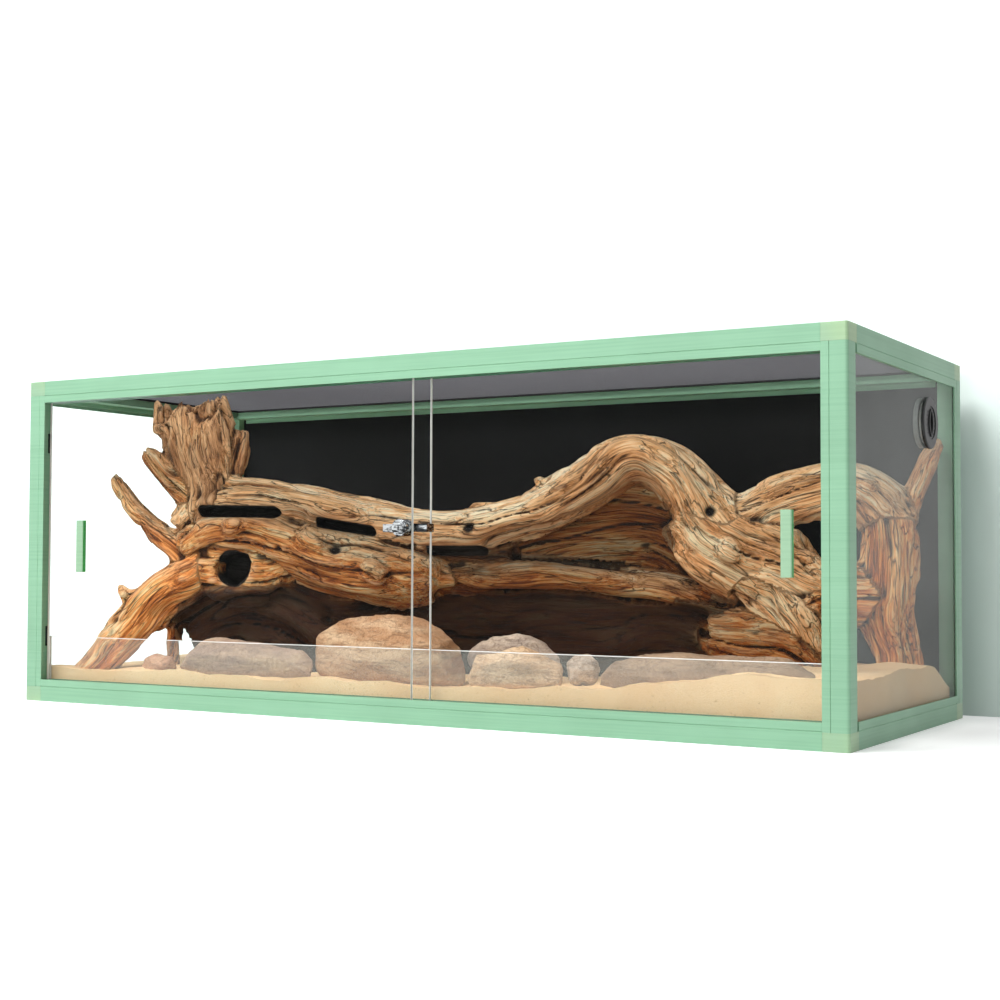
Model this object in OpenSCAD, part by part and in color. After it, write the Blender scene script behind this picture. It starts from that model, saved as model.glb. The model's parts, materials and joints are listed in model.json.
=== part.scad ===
// Front-opening reptile terrarium with sliding glass doors, furnished with sand, stones and driftwood.
// The frame is made of plastic rails and posts plugged together by eight corner connectors.
// X runs to the right, Y to the back, Z up. The origin is on the table under the middle of the frame.

/* [Frame] */
// Length of the frame, left to right
case_l = 1200; // [1000:10:1400]
// Depth of the frame, front to back
case_d = 450; // [400:10:560]
// Height of the frame
case_h = 450; // [420:10:560]
// Depth of a rail, and the footprint of a corner connector
rail_d = 30; // [30:1:34]
// Height of a rail without its lip
rail_h = 20; // [20:1:24]
// Width of the thin lip along a rail or a post
lip_w = 10; // [6:1:14]
// Width of the inner lip that a side pane or the back panel leans on
inner_lip = 6; // [4:1:9]
// Thickness of the outer walls and lips
wall = 1.8; // [1.4:0.1:2]
// Plastic left between two cavities of a rail or a post
core = 2.5; // [2.3:0.1:2.7]
// Radius on the outer edge of a corner connector
corner_r = 4; // [2:0.5:6]
// Face width of a post without its lip
post_w = 20; // [20:1:24]
// Depth of a post, seen from its narrow side
post_d = 25; // [24:1:28]
// Width of the shadow line between a rail and its lip
line_w = 1; // [0.6:0.1:1.4]
// Depth of that line
line_d = 0.7; // [0.4:0.1:1]
// Length of the tenons on a corner connector
tenon_l = 25; // [15:1:40]
// Clearance round a tenon or a panel in its groove
fit = 0.1; // [0.05:0.05:0.2]

/* [Panels] */
// Thickness of the glass panes
glass_t = 4; // [3:0.5:5]
// Thickness of the black back panel
back_t = 5; // [4:0.5:6]
// Thickness of the floor panel
floor_t = 5; // [4:0.5:6]
// Height of the floor panel's underside above the table
floor_z = 9; // [6:0.5:10]
// Depth of the grooves that hold the panels
slot_d = 8; // [6:0.5:9]
// Height of the glass guard behind the doors, above the table
guard_top = 90; // [70:5:110]

/* [Doors] */
// How much the two doors overlap in the middle
door_overlap = 18; // [10:1:30]
// Distance of the overlap from the middle, to the right
door_mid = 61; // [0:1:90]
// Depth of the front door behind the front of the frame
door_out = 3; // [3:0.1:3.4]
// Free gap between the two doors
door_gap = 11.4; // [11.4:0.1:12]
// Gap between the back door and the glass guard
guard_gap = 2; // [1.6:0.1:2.4]
// Height of the lower track above the frame
track_h = 9; // [8:0.5:9.5]
// Thickness of the track's floor
track_floor = 3; // [2:0.5:4]
// Length of the upper track's grip below the rail
track_drop = 9.4; // [8:0.2:9.8]
// Wall of the upper track over its grooves
track_roof = 1; // [0.8:0.2:1.4]
// Thickness of the webs in a hollow track
track_web = 1.5; // [1.2:0.1:1.8]
// Side clearance of a door in its track
track_fit = 0.15; // [0.1:0.05:0.3]
// How far a door reaches into the pocket of the upper rail
door_lift = 0.5; // [0.3:0.1:1]
// Free gap between a closed door and its post
door_end = 2; // [1.8:0.1:3]
// Height of a rubber stop
bumper_h = 28; // [16:2:40]
// Distance of a rubber stop's middle from the end of the door
bumper_in = 67; // [40:1:90]
// Free gap between a rubber stop and the closed door
bumper_gap = 0.5; // [0.3:0.1:1]
// How far a rubber stop reaches past the faces of the door
bumper_side = 1.5; // [0.5:0.1:2]

/* [Handles] */
// Width of a door handle
handle_w = 13; // [10:1:18]
// Height of a door handle
handle_h = 72; // [50:2:100]
// How far a handle stands off its adhesive pad
handle_t = 7; // [5:0.5:7]
// Thickness of the adhesive pad
pad_t = 1; // [0.5:0.1:1]
// Distance of the left handle's middle from the closed door's outer edge
left_handle_in = 68; // [30:1:80]
// Distance of the right handle's middle from the closed door's outer edge
right_handle_in = 45; // [30:1:80]
// Height of the handles' middle below the middle of the frame
handle_drop = 8; // [-20:1:40]
// Width of the chamfer on a handle's front edges
handle_edge = 1.2; // [0.4:0.1:2]
// How far the edge of the adhesive pad lies inside the handle's
pad_in = 1; // [0.5:0.5:3]

/* [Lock] */
// Height of the lock bar's middle above the middle of the frame
lock_rise = 13; // [-30:1:60]
// Height of the lock bar
bar_h = 10; // [8:0.5:11]
// Thickness of the lock bar
bar_t = 1.2; // [1:0.1:1.4]
// Length of the lock bar that shows left of the front door
bar_free = 45; // [40:1:60]
// Length of the bar's fold behind the back door
hook_l = 14; // [8:1:20]
// Free gap between the front door and the lock bar
bar_gap = 0.6; // [0.4:0.1:1]
// How far the plastic spacer starts behind the edge of the front door
spacer_in = 1; // [0:0.5:4]
// Diameter of the lock barrel
barrel_dia = 21; // [18:0.5:24]
// Length of the lock barrel, front to back
barrel_l = 17.8; // [17:0.2:17.8]
// Free gap between the front door's edge and the lock barrel
barrel_gap = 1; // [0.5:0.1:2]
// Free gap between the lock barrel and the back door's handle as they pass
pass_gap = 0.5; // [0.3:0.1:0.8]
// Width of the step round the barrel's front
barrel_rim = 2; // [1:0.5:3]
// Depth of that step
rim_d = 1.2; // [0.6:0.2:2]
// Diameter of the turning key plug
plug_dia = 12; // [10:0.5:13]
// Radial clearance of the key plug
plug_fit = 0.05; // [0.02:0.01:0.08]
// Metal left between the key plug and the lock bar
plug_back = 4; // [2:0.5:5]
// How far the key plug stands proud of the barrel
plug_proud = 0.4; // [0.2:0.1:1]
// Width of the key slot
key_w = 1.6; // [1:0.2:2.4]
// Height of the key slot
key_h = 7; // [4:0.5:8]
// Depth of the key slot
key_d = 6; // [3:0.5:7]

/* [Vent] */
// Distance of the cable port's middle behind the middle of the frame
vent_y = 80; // [40:1:110]
// Distance of the cable port's middle below the top of the frame
vent_drop = 84; // [68:1:150]
// Outer diameter of the port
vent_dia = 63; // [60:1:70]
// Diameter of the hole in the glass
vent_hole = 50; // [48:1:54]
// Diameter of the turning insert
insert_dia = 40; // [36:1:42]
// Thickness of the flange outside the glass
flange_t = 4; // [3:0.5:6]
// Height of the bevel on the flange's rim
flange_edge = 1; // [0.5:0.1:1.5]
// Thickness of the ring nut inside the glass
ring_t = 6; // [4:0.5:8]
// Radial clearance of the turning insert
insert_fit = 0.05; // [0.02:0.01:0.1]
// Width of the shoulder that the insert stops against
shoulder = 2; // [1:0.5:3]
// Height of the eye-shaped slot in the insert
eye_h = 30; // [20:1:32]
// Width of the eye-shaped slot
eye_w = 13; // [8:1:16]
// Width of the raised rim round that slot
eye_rim = 2; // [1:0.5:3]
// Height of that rim
eye_rise = 1.6; // [0.5:0.1:2]
// Diameter of an air hole
hole_dia = 2.2; // [1.6:0.2:2.4]
// Distance of the air holes from the insert's edge
hole_in = 3.2; // [3:0.1:3.6]

/* [Screen] */
// Thickness of the lift-out screen's frame
screen_t = 6; // [4:0.5:8]
// Width of the screen's frame
screen_w = 12; // [10:1:20]
// Free gap round the screen
screen_gap = 0.5; // [0.3:0.1:1.5]
// Depth of the ledge that the screen lies on
ledge_d = 8; // [6:0.5:8]
// Height of the ledge below the top of the frame
ledge_drop = 10; // [9:0.5:11]
// Thickness of the net
net_t = 1; // [0.6:0.1:1.4]
// Width of a strand of the net
strand_w = 1.2; // [0.8:0.1:2]
// How far the net reaches into its frame
net_grip = 4; // [2:0.5:6]

/* [Contents] */
// Depth of the sand at the front
sand_depth = 32; // [24:1:40]
// Extra height of the drift of sand on the right
drift_h = 26; // [0:1:34]
// Free gap between the sand and the panels
sand_gap = 0.3; // [0.2:0.1:1]

/* [Hidden] */
$fn = 48;
// overlap of pieces that make one solid, and how far a cut runs past a face
past = 1;

half_l = case_l / 2;
half_d = case_d / 2;

// depth of the pane groove behind the outer face, for the glass and for the back panel
glass_slot = glass_t + 2 * fit;
back_slot = back_t + 2 * fit;

// cavities that take the tenons, as [start across, start up, width, height]
low_cavity = [wall + back_slot + core, core,
    rail_d - slot_d - wall - back_slot - 2 * core, rail_h - 2 * core];
top_cavity = [core, core, rail_d - ledge_d - 2 * core, rail_h - slot_d - 2 * core];
front_post_cavity = [core, core, post_w - 2 * core, post_d - slot_d - 2 * core];
rear_post_cavity = [core, core, post_d - slot_d - 2 * core, post_w - slot_d - 2 * core];

// places of the panes behind the front face
door_in = door_out + glass_t + door_gap;
guard_in = door_in + glass_t + guard_gap;
pocket_end = guard_in + glass_t + 2 * fit;
pocket_h = slot_d + fit;

// doors
track_z = rail_h;
door_bottom = rail_h + track_floor + fit;
door_top = case_h - rail_h + door_lift;
door_edge = half_l - post_w - door_end;
left_door_end = door_mid + door_overlap / 2;
right_door_start = door_mid - door_overlap / 2;
bumper_t = door_end - bumper_gap;
bumper_places = [door_bottom + bumper_in, door_top - bumper_in];
left_handle_x = left_handle_in - door_edge;
right_handle_x = door_edge - right_handle_in;
handle_z = case_h / 2 - handle_drop;

// lock: the bar and the barrel as distances behind the front of the frame
lock_z = case_h / 2 + lock_rise;
bar_q = door_out + glass_t + bar_gap;
barrel_mid = right_door_start - barrel_gap - barrel_dia / 2;
barrel_end = door_in - pad_t - handle_t - pass_gap;
barrel_start = barrel_end - barrel_l;
plug_l = bar_q - plug_back - barrel_start;

// side panes and the cable port, whose axis runs along X
pane_out = half_l - wall - fit;
pane_in = pane_out - glass_t;
vent_z = case_h - vent_drop;
port_l = ring_t + glass_t + flange_t;

// screen
screen_l = case_l - 2 * (rail_d - ledge_d + screen_gap);
screen_d = case_d - 2 * (rail_d - ledge_d + screen_gap);
ledge_z = case_h - ledge_drop;
net_z = ledge_z + screen_t / 2 - net_t / 2;
net_columns = 20;
net_rows = 8;

// sand
floor_top = floor_z + fit + floor_t;
sand_x = half_l - 2 * wall - glass_slot - sand_gap;
sand_front = -half_d + rail_d + sand_gap;
sand_back = half_d - 2 * wall - back_slot - sand_gap;
sand_columns = 28;
sand_rows = 10;

// the driftwood, the stones and the sand were laid out in a case of this size, and stretch with the case
layout = [1200, 450, 450];
room = [case_l / layout.x, case_d / layout.y, case_h / layout.z];
function place(p) = [p[0] * room.x, p[1] * room.y, p[2] * room.z];

// Height of the sand at a place: level on the left, a drift on the right that falls off to the back corner.
// Each slope is where it starts and how far it runs, and each wave its height and its turns across and back.
drift_slope = [180, 320];
corner_slope_x = [380, 200];
corner_slope_y = [90, 130];
corner_fall = 1.25;
sand_waves = [[2.2, 1.3, 0.9], [1.4, 3.1, -2.3]];
function ease(t) = let (u = max(0, min(1, t))) u * u * (3 - 2 * u);
function along(slope, p) = ease((p - slope[0]) / slope[1]);
function wave(w, u, v) = w[0] * sin(u * w[1] + v * w[2]);
function sand_height(x, y) =
    let (u = x / room.x, v = y / room.y,
         corner = corner_fall * along(corner_slope_y, v) * along(corner_slope_x, u))
    floor_top + sand_depth + drift_h * along(drift_slope, u) * (1 - corner)
    + wave(sand_waves[0], u, v) + wave(sand_waves[1], u, v);

// Points between rows of numbers on a smooth curve through all of them
function curve_at(rows, i, t) =
    let (n = len(rows) - 1,
         a = rows[max(0, i - 1)], b = rows[i], c = rows[min(n, i + 1)], d = rows[min(n, i + 2)])
    0.5 * (2 * b + (c - a) * t + (2 * a - 5 * b + 4 * c - d) * t * t
        + (3 * b - a - 3 * c + d) * t * t * t);
function curve(rows, steps) = concat(
    [for (i = [0 : len(rows) - 2]) for (s = [0 : steps - 1]) curve_at(rows, i, s / steps)],
    [rows[len(rows) - 1]]);
function unit(v) = v / norm(v);
function middle(row) = [row[0], row[1], row[2]];

// Driftwood limbs. Each row is x, y, z, half width across and half height.
// A limb has a few soft ridges that turn a little from one ring of points to the next.
limb_sides = 8;
limb_steps = 2;
ridges = 3;
ridge_size = 0.09;
ridge_turn = 47;
leg = [[-548, -168, 24, 20, 22], [-512, -158, 58, 24, 28], [-464, -146, 112, 27, 33],
    [-415, -133, 154, 29, 36], [-366, -120, 184, 28, 36], [-330, -112, 206, 20, 20]];
main_strand = [[-385, -124, 215, 26, 24], [-345, -115, 236, 34, 30], [-300, -104, 238, 37, 32],
    [-240, -88, 222, 40, 40], [-180, -72, 202, 44, 48], [-120, -56, 188, 46, 50], [-70, -44, 177, 44, 43],
    [-30, -33, 171, 30, 26]];
top_strand = [[-402, -128, 246, 18, 20], [-362, -117, 282, 28, 22], [-300, -102, 289, 36, 23],
    [-225, -83, 279, 38, 23], [-150, -64, 262, 38, 22], [-80, -46, 246, 40, 23], [0, -26, 240, 40, 25],
    [60, -10, 250, 40, 27], [112, 2, 266, 40, 31], [160, 15, 294, 44, 35], [222, 32, 333, 50, 30],
    [268, 45, 322, 50, 32], [302, 54, 284, 48, 38], [344, 64, 228, 46, 44], [392, 77, 178, 43, 44],
    [436, 88, 128, 40, 38], [462, 95, 80, 36, 32], [470, 98, 34, 34, 28]];
burl = [[-374, -122, 192, 16, 22], [-346, -116, 187, 25, 43], [-311, -107, 185, 28, 48],
    [-274, -97, 184, 26, 45], [-244, -90, 188, 18, 28]];
low_wall = [[-404, -103, 100, 10, 46], [-345, -94, 136, 16, 88], [-290, -82, 140, 24, 90],
    [-200, -52, 104, 29, 82], [-100, -16, 104, 27, 86], [0, 20, 110, 24, 90], [100, 46, 114, 24, 92],
    [200, 72, 114, 24, 90], [300, 95, 112, 24, 84], [390, 112, 104, 24, 74], [455, 120, 92, 20, 58]];
right_sheet = [[285, 50, 262, 30, 34], [322, 60, 232, 40, 60], [366, 71, 208, 42, 60],
    [412, 83, 186, 40, 56], [452, 93, 168, 36, 38], [500, 104, 154, 28, 32]];
right_foot = [[318, 74, 104, 24, 40], [370, 74, 98, 34, 44], [424, 84, 84, 36, 44], [468, 94, 62, 32, 32]];
high_wall = [[-40, 2, 196, 18, 28], [50, 30, 222, 20, 48], [140, 56, 246, 22, 62], [220, 76, 252, 22, 72],
    [290, 92, 228, 22, 64], [350, 104, 190, 20, 46]];
shelf = [[-50, -34, 174, 20, 18], [20, -6, 174, 24, 20], [100, 20, 178, 26, 22], [180, 44, 170, 26, 20],
    [260, 64, 158, 24, 18], [330, 80, 146, 21, 16]];
right_branch = [[330, 62, 236, 32, 28], [385, 76, 262, 32, 30], [440, 90, 282, 32, 34],
    [495, 104, 286, 34, 38], [540, 112, 258, 34, 34]];
right_link = [[425, 88, 150, 34, 44], [485, 102, 156, 34, 42], [538, 112, 158, 32, 34]];
tip_branch = [[548, 110, 222, 20, 20], [558, 128, 268, 15, 15], [568, 160, 310, 13, 13],
    [576, 188, 342, 11, 11], [579, 199, 356, 7, 7]];
twig_a = [[-378, -124, 286, 20, 20], [-414, -133, 312, 17, 17], [-440, -140, 338, 15, 15],
    [-457, -144, 354, 11, 11]];
twig_b = [[-388, -126, 205, 22, 22], [-436, -139, 238, 17, 17], [-470, -147, 270, 14, 14],
    [-496, -154, 304, 12, 12], [-505, -156, 317, 9, 9]];
back_root = [[-392, -118, 170, 13, 13], [-420, -116, 108, 10, 10], [-426, -110, 34, 10, 10]];
beak = [[150, 8, 296, 16, 16], [122, 0, 300, 13, 11], [101, -6, 308, 6, 5]];
snag = [[62, -10, 262, 12, 10], [34, -18, 268, 8, 6], [14, -24, 272, 3, 3]];
slit_back = [[-372, -106, 262, 12, 24], [-300, -87, 266, 14, 26], [-225, -67, 262, 14, 26],
    [-150, -48, 246, 14, 26], [-80, -30, 228, 14, 24], [0, -8, 214, 14, 22], [60, 8, 210, 12, 18]];
lying_limbs = [leg, main_strand, top_strand, burl, low_wall, high_wall, shelf, right_sheet, right_foot,
    right_branch, right_link, twig_a, twig_b, back_root, beak, snag, slit_back];

stump = [[-362, -122, 236, 40, 26], [-358, -121, 300, 56, 28], [-366, -122, 350, 61, 29],
    [-376, -125, 392, 57, 28], [-382, -126, 410, 52, 23]];
stump_prong_a = [[-420, -134, 380, 20, 18], [-427, -136, 410, 15, 12], [-431, -137, 430, 9, 7]];
stump_prong_b = [[-398, -130, 385, 15, 14], [-400, -131, 414, 10, 9], [-401, -131, 430, 5, 5]];
stump_prong_c = [[-318, -108, 330, 17, 16], [-312, -106, 358, 14, 12], [-309, -105, 380, 8, 8]];
right_stump = [[548, 118, 30, 25, 24], [547, 120, 84, 29, 27], [538, 113, 132, 35, 31],
    [541, 112, 196, 38, 34], [541, 110, 246, 33, 30], [537, 107, 270, 20, 20], [532, 104, 292, 7, 7]];
standing_limbs = [stump, stump_prong_a, stump_prong_b, stump_prong_c, right_stump, tip_branch];

// knots and broken stubs: middle, radius and how far the stub points, where it is thinner
stub_taper = 0.55;
knots = [[[-300, -136, 240], 15, [12, -8, 8]], [[-190, -108, 226], 18, [20, -6, -8]],
    [[-96, -92, 184], 20, [18, -6, -12]], [[-470, -164, 150], 10, [-10, -6, 16]],
    [[-448, -150, 262], 6, [-10, -2, 10]], [[190, -8, 336], 12, [16, -6, 8]],
    [[360, 26, 214], 16, [16, -8, -14]], [[450, 56, 140], 18, [10, -6, -22]],
    [[516, 80, 286], 14, [14, -6, 12]], [[566, 126, 180], 12, [4, 6, 16]]];

// slits and the round knothole, level and turned from the Y axis, which end inside the wood: start, end
// and radius
slits = [[[-348, -151, 266], [-242, -127, 264], 8], [[-178, -111, 250], [-102, -93, 238], 7],
    [[-30, -69, 212], [40, -53, 212], 6]];
knothole = [-307, -121, 187];
knothole_r = 25;
wood_turn = 14.5;
slit_reach = 90;

// Stones: middle, full size, turn and shape number
stones = [[[-246, -168, 60], [236, 44, 62], 1, 1], [[-24, -146, 78], [216, 88, 108], -3, 2],
    [[128, -104, 74], [134, 40, 66], 4, 3], [[168, -166, 64], [142, 48, 58], -2, 4],
    [[250, -152, 70], [40, 34, 38], 10, 5], [[414, -150, 66], [246, 66, 54], 1, 6],
    [[-412, -158, 50], [56, 34, 36], 14, 8]];
stone_sides = 12;
stone_rings = 6;
stone_swell = 0.1;
stone_dip = 0.07;
stone_square = 0.8;

// the block of sand that cuts the wood and the stones off reaches this far below the table
below_floor = 5;

// Puts a piece drawn at the front left corner at another corner, counting inwards from the outer faces
module at_corner(right, rear) {
    mirror([right ? 1 : 0, 0, 0]) mirror([0, rear ? 1 : 0, 0]) translate([-half_l, -half_d, 0]) children();
}

// Stands a section drawn as depth and height along X, centred on the middle
module along_x(length) {
    translate([-length / 2, 0, 0]) rotate([90, 0, 90]) linear_extrude(length) children();
}

// The same for a rail that runs from front to back, with its outer face on the left
module along_y(length) {
    translate([0, length / 2, 0]) rotate([90, 0, 0]) linear_extrude(length) children();
}

// Section of a rail as depth and height, with its lip up, for a lower rail
module low_section(pane_slot) {
    difference() {
        union() {
            square([rail_d, rail_h]);
            square([wall, rail_h + lip_w]);
            if (pane_slot > 0) translate([wall + pane_slot, 0]) square([wall, rail_h + inner_lip]);
        }
        square_at(low_cavity);
        square_at([rail_d - slot_d, floor_z, slot_d + past, floor_t + 2 * fit]);
        square_at([-past, rail_h, past + line_d, line_w]);
        if (pane_slot > 0) square_at([wall, rail_h - slot_d, pane_slot, slot_d + lip_w + past]);
    }
}

// Section of an upper rail, drawn upside down: lip up, with the screen's ledge at its lower inner edge
module top_section(pane_slot) {
    difference() {
        union() {
            square([rail_d, rail_h]);
            square([wall, rail_h + lip_w]);
            if (pane_slot > 0) translate([wall + pane_slot, 0]) square([wall, rail_h + inner_lip]);
        }
        square_at(top_cavity);
        square_at([rail_d - ledge_d, -past, ledge_d + past, ledge_drop + past]);
        square_at([-past, rail_h, past + line_d, line_w]);
        if (pane_slot > 0) square_at([wall, rail_h - slot_d, pane_slot, slot_d + lip_w + past]);
        else square_at([wall, rail_h - pocket_h, pocket_end - wall, pocket_h + past]);
    }
}

module low_rail_x(rear, pane_slot) {
    mirror([0, rear ? 1 : 0, 0]) translate([0, -half_d, 0])
        along_x(case_l - 2 * rail_d) low_section(pane_slot);
}
module top_rail_x(rear, pane_slot) {
    mirror([0, rear ? 1 : 0, 0]) translate([0, -half_d, case_h])
        along_x(case_l - 2 * rail_d) mirror([0, 1]) top_section(pane_slot);
}
module low_rail_y(right) {
    mirror([right ? 1 : 0, 0, 0]) translate([-half_l, 0, 0])
        along_y(case_d - 2 * rail_d) low_section(glass_slot);
}
module top_rail_y(right) {
    mirror([right ? 1 : 0, 0, 0]) translate([-half_l, 0, case_h])
        along_y(case_d - 2 * rail_d) mirror([0, 1]) top_section(glass_slot);
}

// Front post: wide face and lip to the front, groove for the side pane at its back
module front_post(right) {
    at_corner(right, false) translate([0, 0, rail_h]) linear_extrude(case_h - 2 * rail_h) difference() {
        union() {
            rounded_square(post_w, post_d);
            square_from([post_w - past, 0], [post_w + lip_w, wall]);
        }
        square_at(front_post_cavity);
        square_from([wall, post_d - slot_d], [wall + glass_slot, post_d + past]);
        square_from([post_w, -past], [post_w + line_w, line_d]);
    }
}

// Rear post: wide face and lip to the side, grooves for the side pane and the back panel
module rear_post(right) {
    at_corner(right, true) translate([0, 0, rail_h]) linear_extrude(case_h - 2 * rail_h) difference() {
        union() {
            rounded_square(post_d, post_w);
            square_from([0, post_w - past], [wall, post_w + lip_w]);
        }
        square_at(rear_post_cavity);
        square_from([wall, post_w - slot_d], [wall + glass_slot, post_w + past]);
        square_from([post_d - slot_d, wall], [post_d + past, wall + back_slot]);
        square_from([-past, post_w], [line_d, post_w + line_w]);
    }
}

// Rectangle from its lowest to its highest corner, and from [start across, start up, width, height]
module square_from(low, high) {
    translate(low) square(high - low);
}
module square_at(cavity) {
    translate([cavity[0], cavity[1]]) square([cavity[2], cavity[3]]);
}

// Rectangle with a round outer corner at its origin
module rounded_square(w, d) {
    translate([corner_r, corner_r]) circle(corner_r);
    translate([corner_r, 0]) square([w - corner_r, d]);
    translate([0, corner_r]) square([w, d - corner_r]);
}

// Box from its lowest to its highest corner
module box(low, high) {
    translate(low) cube(high - low);
}

// Tenon that fills a cavity with clearance: along X, Y or Z
module tenon_x(cavity) {
    box([rail_d - past, cavity[0] + fit, cavity[1] + fit],
        [rail_d + tenon_l, cavity[0] + cavity[2] - fit, cavity[1] + cavity[3] - fit]);
}
module tenon_y(cavity) {
    box([cavity[0] + fit, rail_d - past, cavity[1] + fit],
        [cavity[0] + cavity[2] - fit, rail_d + tenon_l, cavity[1] + cavity[3] - fit]);
}
module tenon_z(cavity) {
    box([cavity[0] + fit, cavity[1] + fit, rail_h - past],
        [cavity[0] + cavity[2] - fit, cavity[1] + cavity[3] - fit, rail_h + tenon_l]);
}

// Corner connector, drawn as a lower one; an upper one is the same turned over, with ledge and pocket cuts
module connector(rear, top) {
    post_cavity = rear ? rear_post_cavity : front_post_cavity;
    pane_start = rear ? post_w - slot_d : post_d - slot_d;
    rail_cavity = top ? top_cavity : low_cavity;
    // the cuts end just past the faces, so that they miss the tenons
    cut = fit / 10;
    end = rail_d + cut;
    difference() {
        union() {
            linear_extrude(rail_h) rounded_square(rail_d, rail_d);
            tenon_x(rail_cavity);
            tenon_y(rail_cavity);
            tenon_z(post_cavity);
        }
        box([wall, pane_start, rail_h - slot_d], [wall + glass_slot, end, rail_h + cut]);
        if (rear) box([post_d - slot_d, wall, rail_h - slot_d], [end, wall + back_slot, rail_h + cut]);
        if (top) box([rail_d - ledge_d, rail_d - ledge_d, -cut], [end, end, ledge_drop]);
        if (top && !rear) box([post_w - fit, wall, rail_h - pocket_h], [end, pocket_end, rail_h + cut]);
    }
}
module corner(right, rear, top) {
    color("#c8ebcd") at_corner(right, rear)
        if (top) translate([0, 0, case_h]) mirror([0, 0, 1]) connector(rear, true);
        else connector(rear, false);
}

module corner_front_left_low() corner(false, false, false);
module corner_front_right_low() corner(true, false, false);
module corner_rear_left_low() corner(false, true, false);
module corner_rear_right_low() corner(true, true, false);
module corner_front_left_top() corner(false, false, true);
module corner_front_right_top() corner(true, false, true);
module corner_rear_left_top() corner(false, true, true);
module corner_rear_right_top() corner(true, true, true);

module rail_front_low() color("#acdebe") low_rail_x(false, 0);
module rail_rear_low() color("#acdebe") low_rail_x(true, back_slot);
module rail_left_low() color("#acdebe") low_rail_y(false);
module rail_right_low() color("#acdebe") low_rail_y(true);
module rail_front_top() color("#acdebe") top_rail_x(false, 0);
module rail_rear_top() color("#acdebe") top_rail_x(true, back_slot);
module rail_left_top() color("#acdebe") top_rail_y(false);
module rail_right_top() color("#acdebe") top_rail_y(true);

module post_front_left() color("#acdebe") front_post(false);
module post_front_right() color("#acdebe") front_post(true);
module post_rear_left() color("#acdebe") rear_post(false);
module post_rear_right() color("#acdebe") rear_post(true);

// Side pane, from the slot in the front post to the slot in the rear post
module side_pane(right) {
    mirror([right ? 0 : 1, 0, 0])
        box([pane_in, -half_d + post_d - slot_d + 2 * fit, rail_h - slot_d + 2 * fit],
            [pane_out, half_d - post_w + slot_d - 2 * fit, case_h - rail_h + slot_d - 2 * fit]);
}
module left_pane() color("#dfeeee", 0.3) side_pane(false);
module right_pane() color("#dfeeee", 0.3) difference() {
    side_pane(true);
    port(pane_in) bore(glass_t, vent_hole);
}

module back_panel() color("#1e1e1e") {
    end = half_l - post_d + slot_d - 2 * fit;
    box([-end, half_d - wall - fit - back_t, rail_h - slot_d + 2 * fit],
        [end, half_d - wall - fit, case_h - rail_h + slot_d - 2 * fit]);
}

module floor_panel() color("#2a2a2a") difference() {
    x = half_l - rail_d + slot_d - 2 * fit;
    y = half_d - rail_d + slot_d - 2 * fit;
    box([-x, -y, floor_z + fit], [x, y, floor_top]);
    for (sx = [-1, 1], sy = [-1, 1])
        translate([sx * (half_l - rail_d / 2), sy * (half_d - rail_d / 2), floor_z + floor_t / 2])
            cube([rail_d + 4 * fit, rail_d + 4 * fit, floor_t + 2 * past], center = true);
}

module glass_guard() color("#dfeeee", 0.3) {
    x = half_l - post_w - 2 * fit;
    box([-x, -half_d + guard_in, door_bottom], [x, -half_d + guard_in + glass_t, guard_top]);
}

// Tracks between the front posts: sections as depth and height, with grooves for the panes and a hollow core
track_l = case_l - 2 * post_w - 4 * fit;
module track_channels(low, high) {
    for (q = [door_out, door_in]) square_from([q - track_fit, low], [q + glass_t + track_fit, high]);
}
module track_core(low, high) {
    square_from([door_out + glass_t + track_fit + track_web, low + track_web],
        [door_in - track_fit - track_web, high - track_web]);
}
module lower_track() color("#2f7f55") translate([0, -half_d, 0]) along_x(track_l) {
    groove = track_z + track_floor;
    high = track_z + track_h;
    difference() {
        square_from([wall + fit, track_z], [rail_d, high]);
        track_channels(groove, high + past);
        square_from([guard_in - track_fit, groove], [guard_in + glass_t + track_fit, high + past]);
        track_core(track_z, high);
    }
}
module upper_track() color("#2f7f55") translate([0, -half_d, 0]) along_x(track_l) {
    low = case_h - rail_h - track_drop;
    high = case_h - rail_h + pocket_h - fit;
    difference() {
        square_from([wall + fit, low], [pocket_end - fit, high]);
        track_channels(low - past, high - track_roof);
        track_core(low, high);
    }
}

// Rubber stops on the inner faces of the front posts
module bumpers(right) {
    start = [-half_l + post_w, -half_d + door_in - bumper_side];
    mirror([right ? 1 : 0, 0, 0]) for (z = bumper_places)
        translate([start.x, start.y, z - bumper_h / 2]) cube([bumper_t, glass_t + 2 * bumper_side, bumper_h]);
}
module left_bumpers() color("#26302b") bumpers(false);
module right_bumpers() color("#26302b") bumpers(true);

module door(start, end, q) {
    box([start, -half_d + q, door_bottom], [end, -half_d + q + glass_t, door_top]);
}
module left_door() color("#dfeeee", 0.3) door(-door_edge, left_door_end, door_in);
module right_door() color("#dfeeee", 0.3) door(right_door_start, door_edge, door_out);

// Handle block with chamfered front edges, and the adhesive pad behind it
module handle(x, glass_q) {
    w = handle_w / 2;
    translate([x, -half_d + glass_q - pad_t, handle_z - handle_h / 2]) linear_extrude(handle_h)
        polygon([[-w, 0], [-w, -handle_t + handle_edge], [-w + handle_edge, -handle_t],
            [w - handle_edge, -handle_t], [w, -handle_t + handle_edge], [w, 0]]);
}
module handle_pad(x, glass_q) {
    w = handle_w / 2 - pad_in;
    h = handle_h / 2 - pad_in;
    box([x - w, -half_d + glass_q - pad_t, handle_z - h], [x + w, -half_d + glass_q, handle_z + h]);
}
module left_handle() color("#a4dcb8") handle(left_handle_x, door_in);
module left_handle_pad() color("#e8e8e4") handle_pad(left_handle_x, door_in);
module right_handle() color("#a4dcb8") handle(right_handle_x, door_out);
module right_handle_pad() color("#e8e8e4") handle_pad(right_handle_x, door_out);

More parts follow.
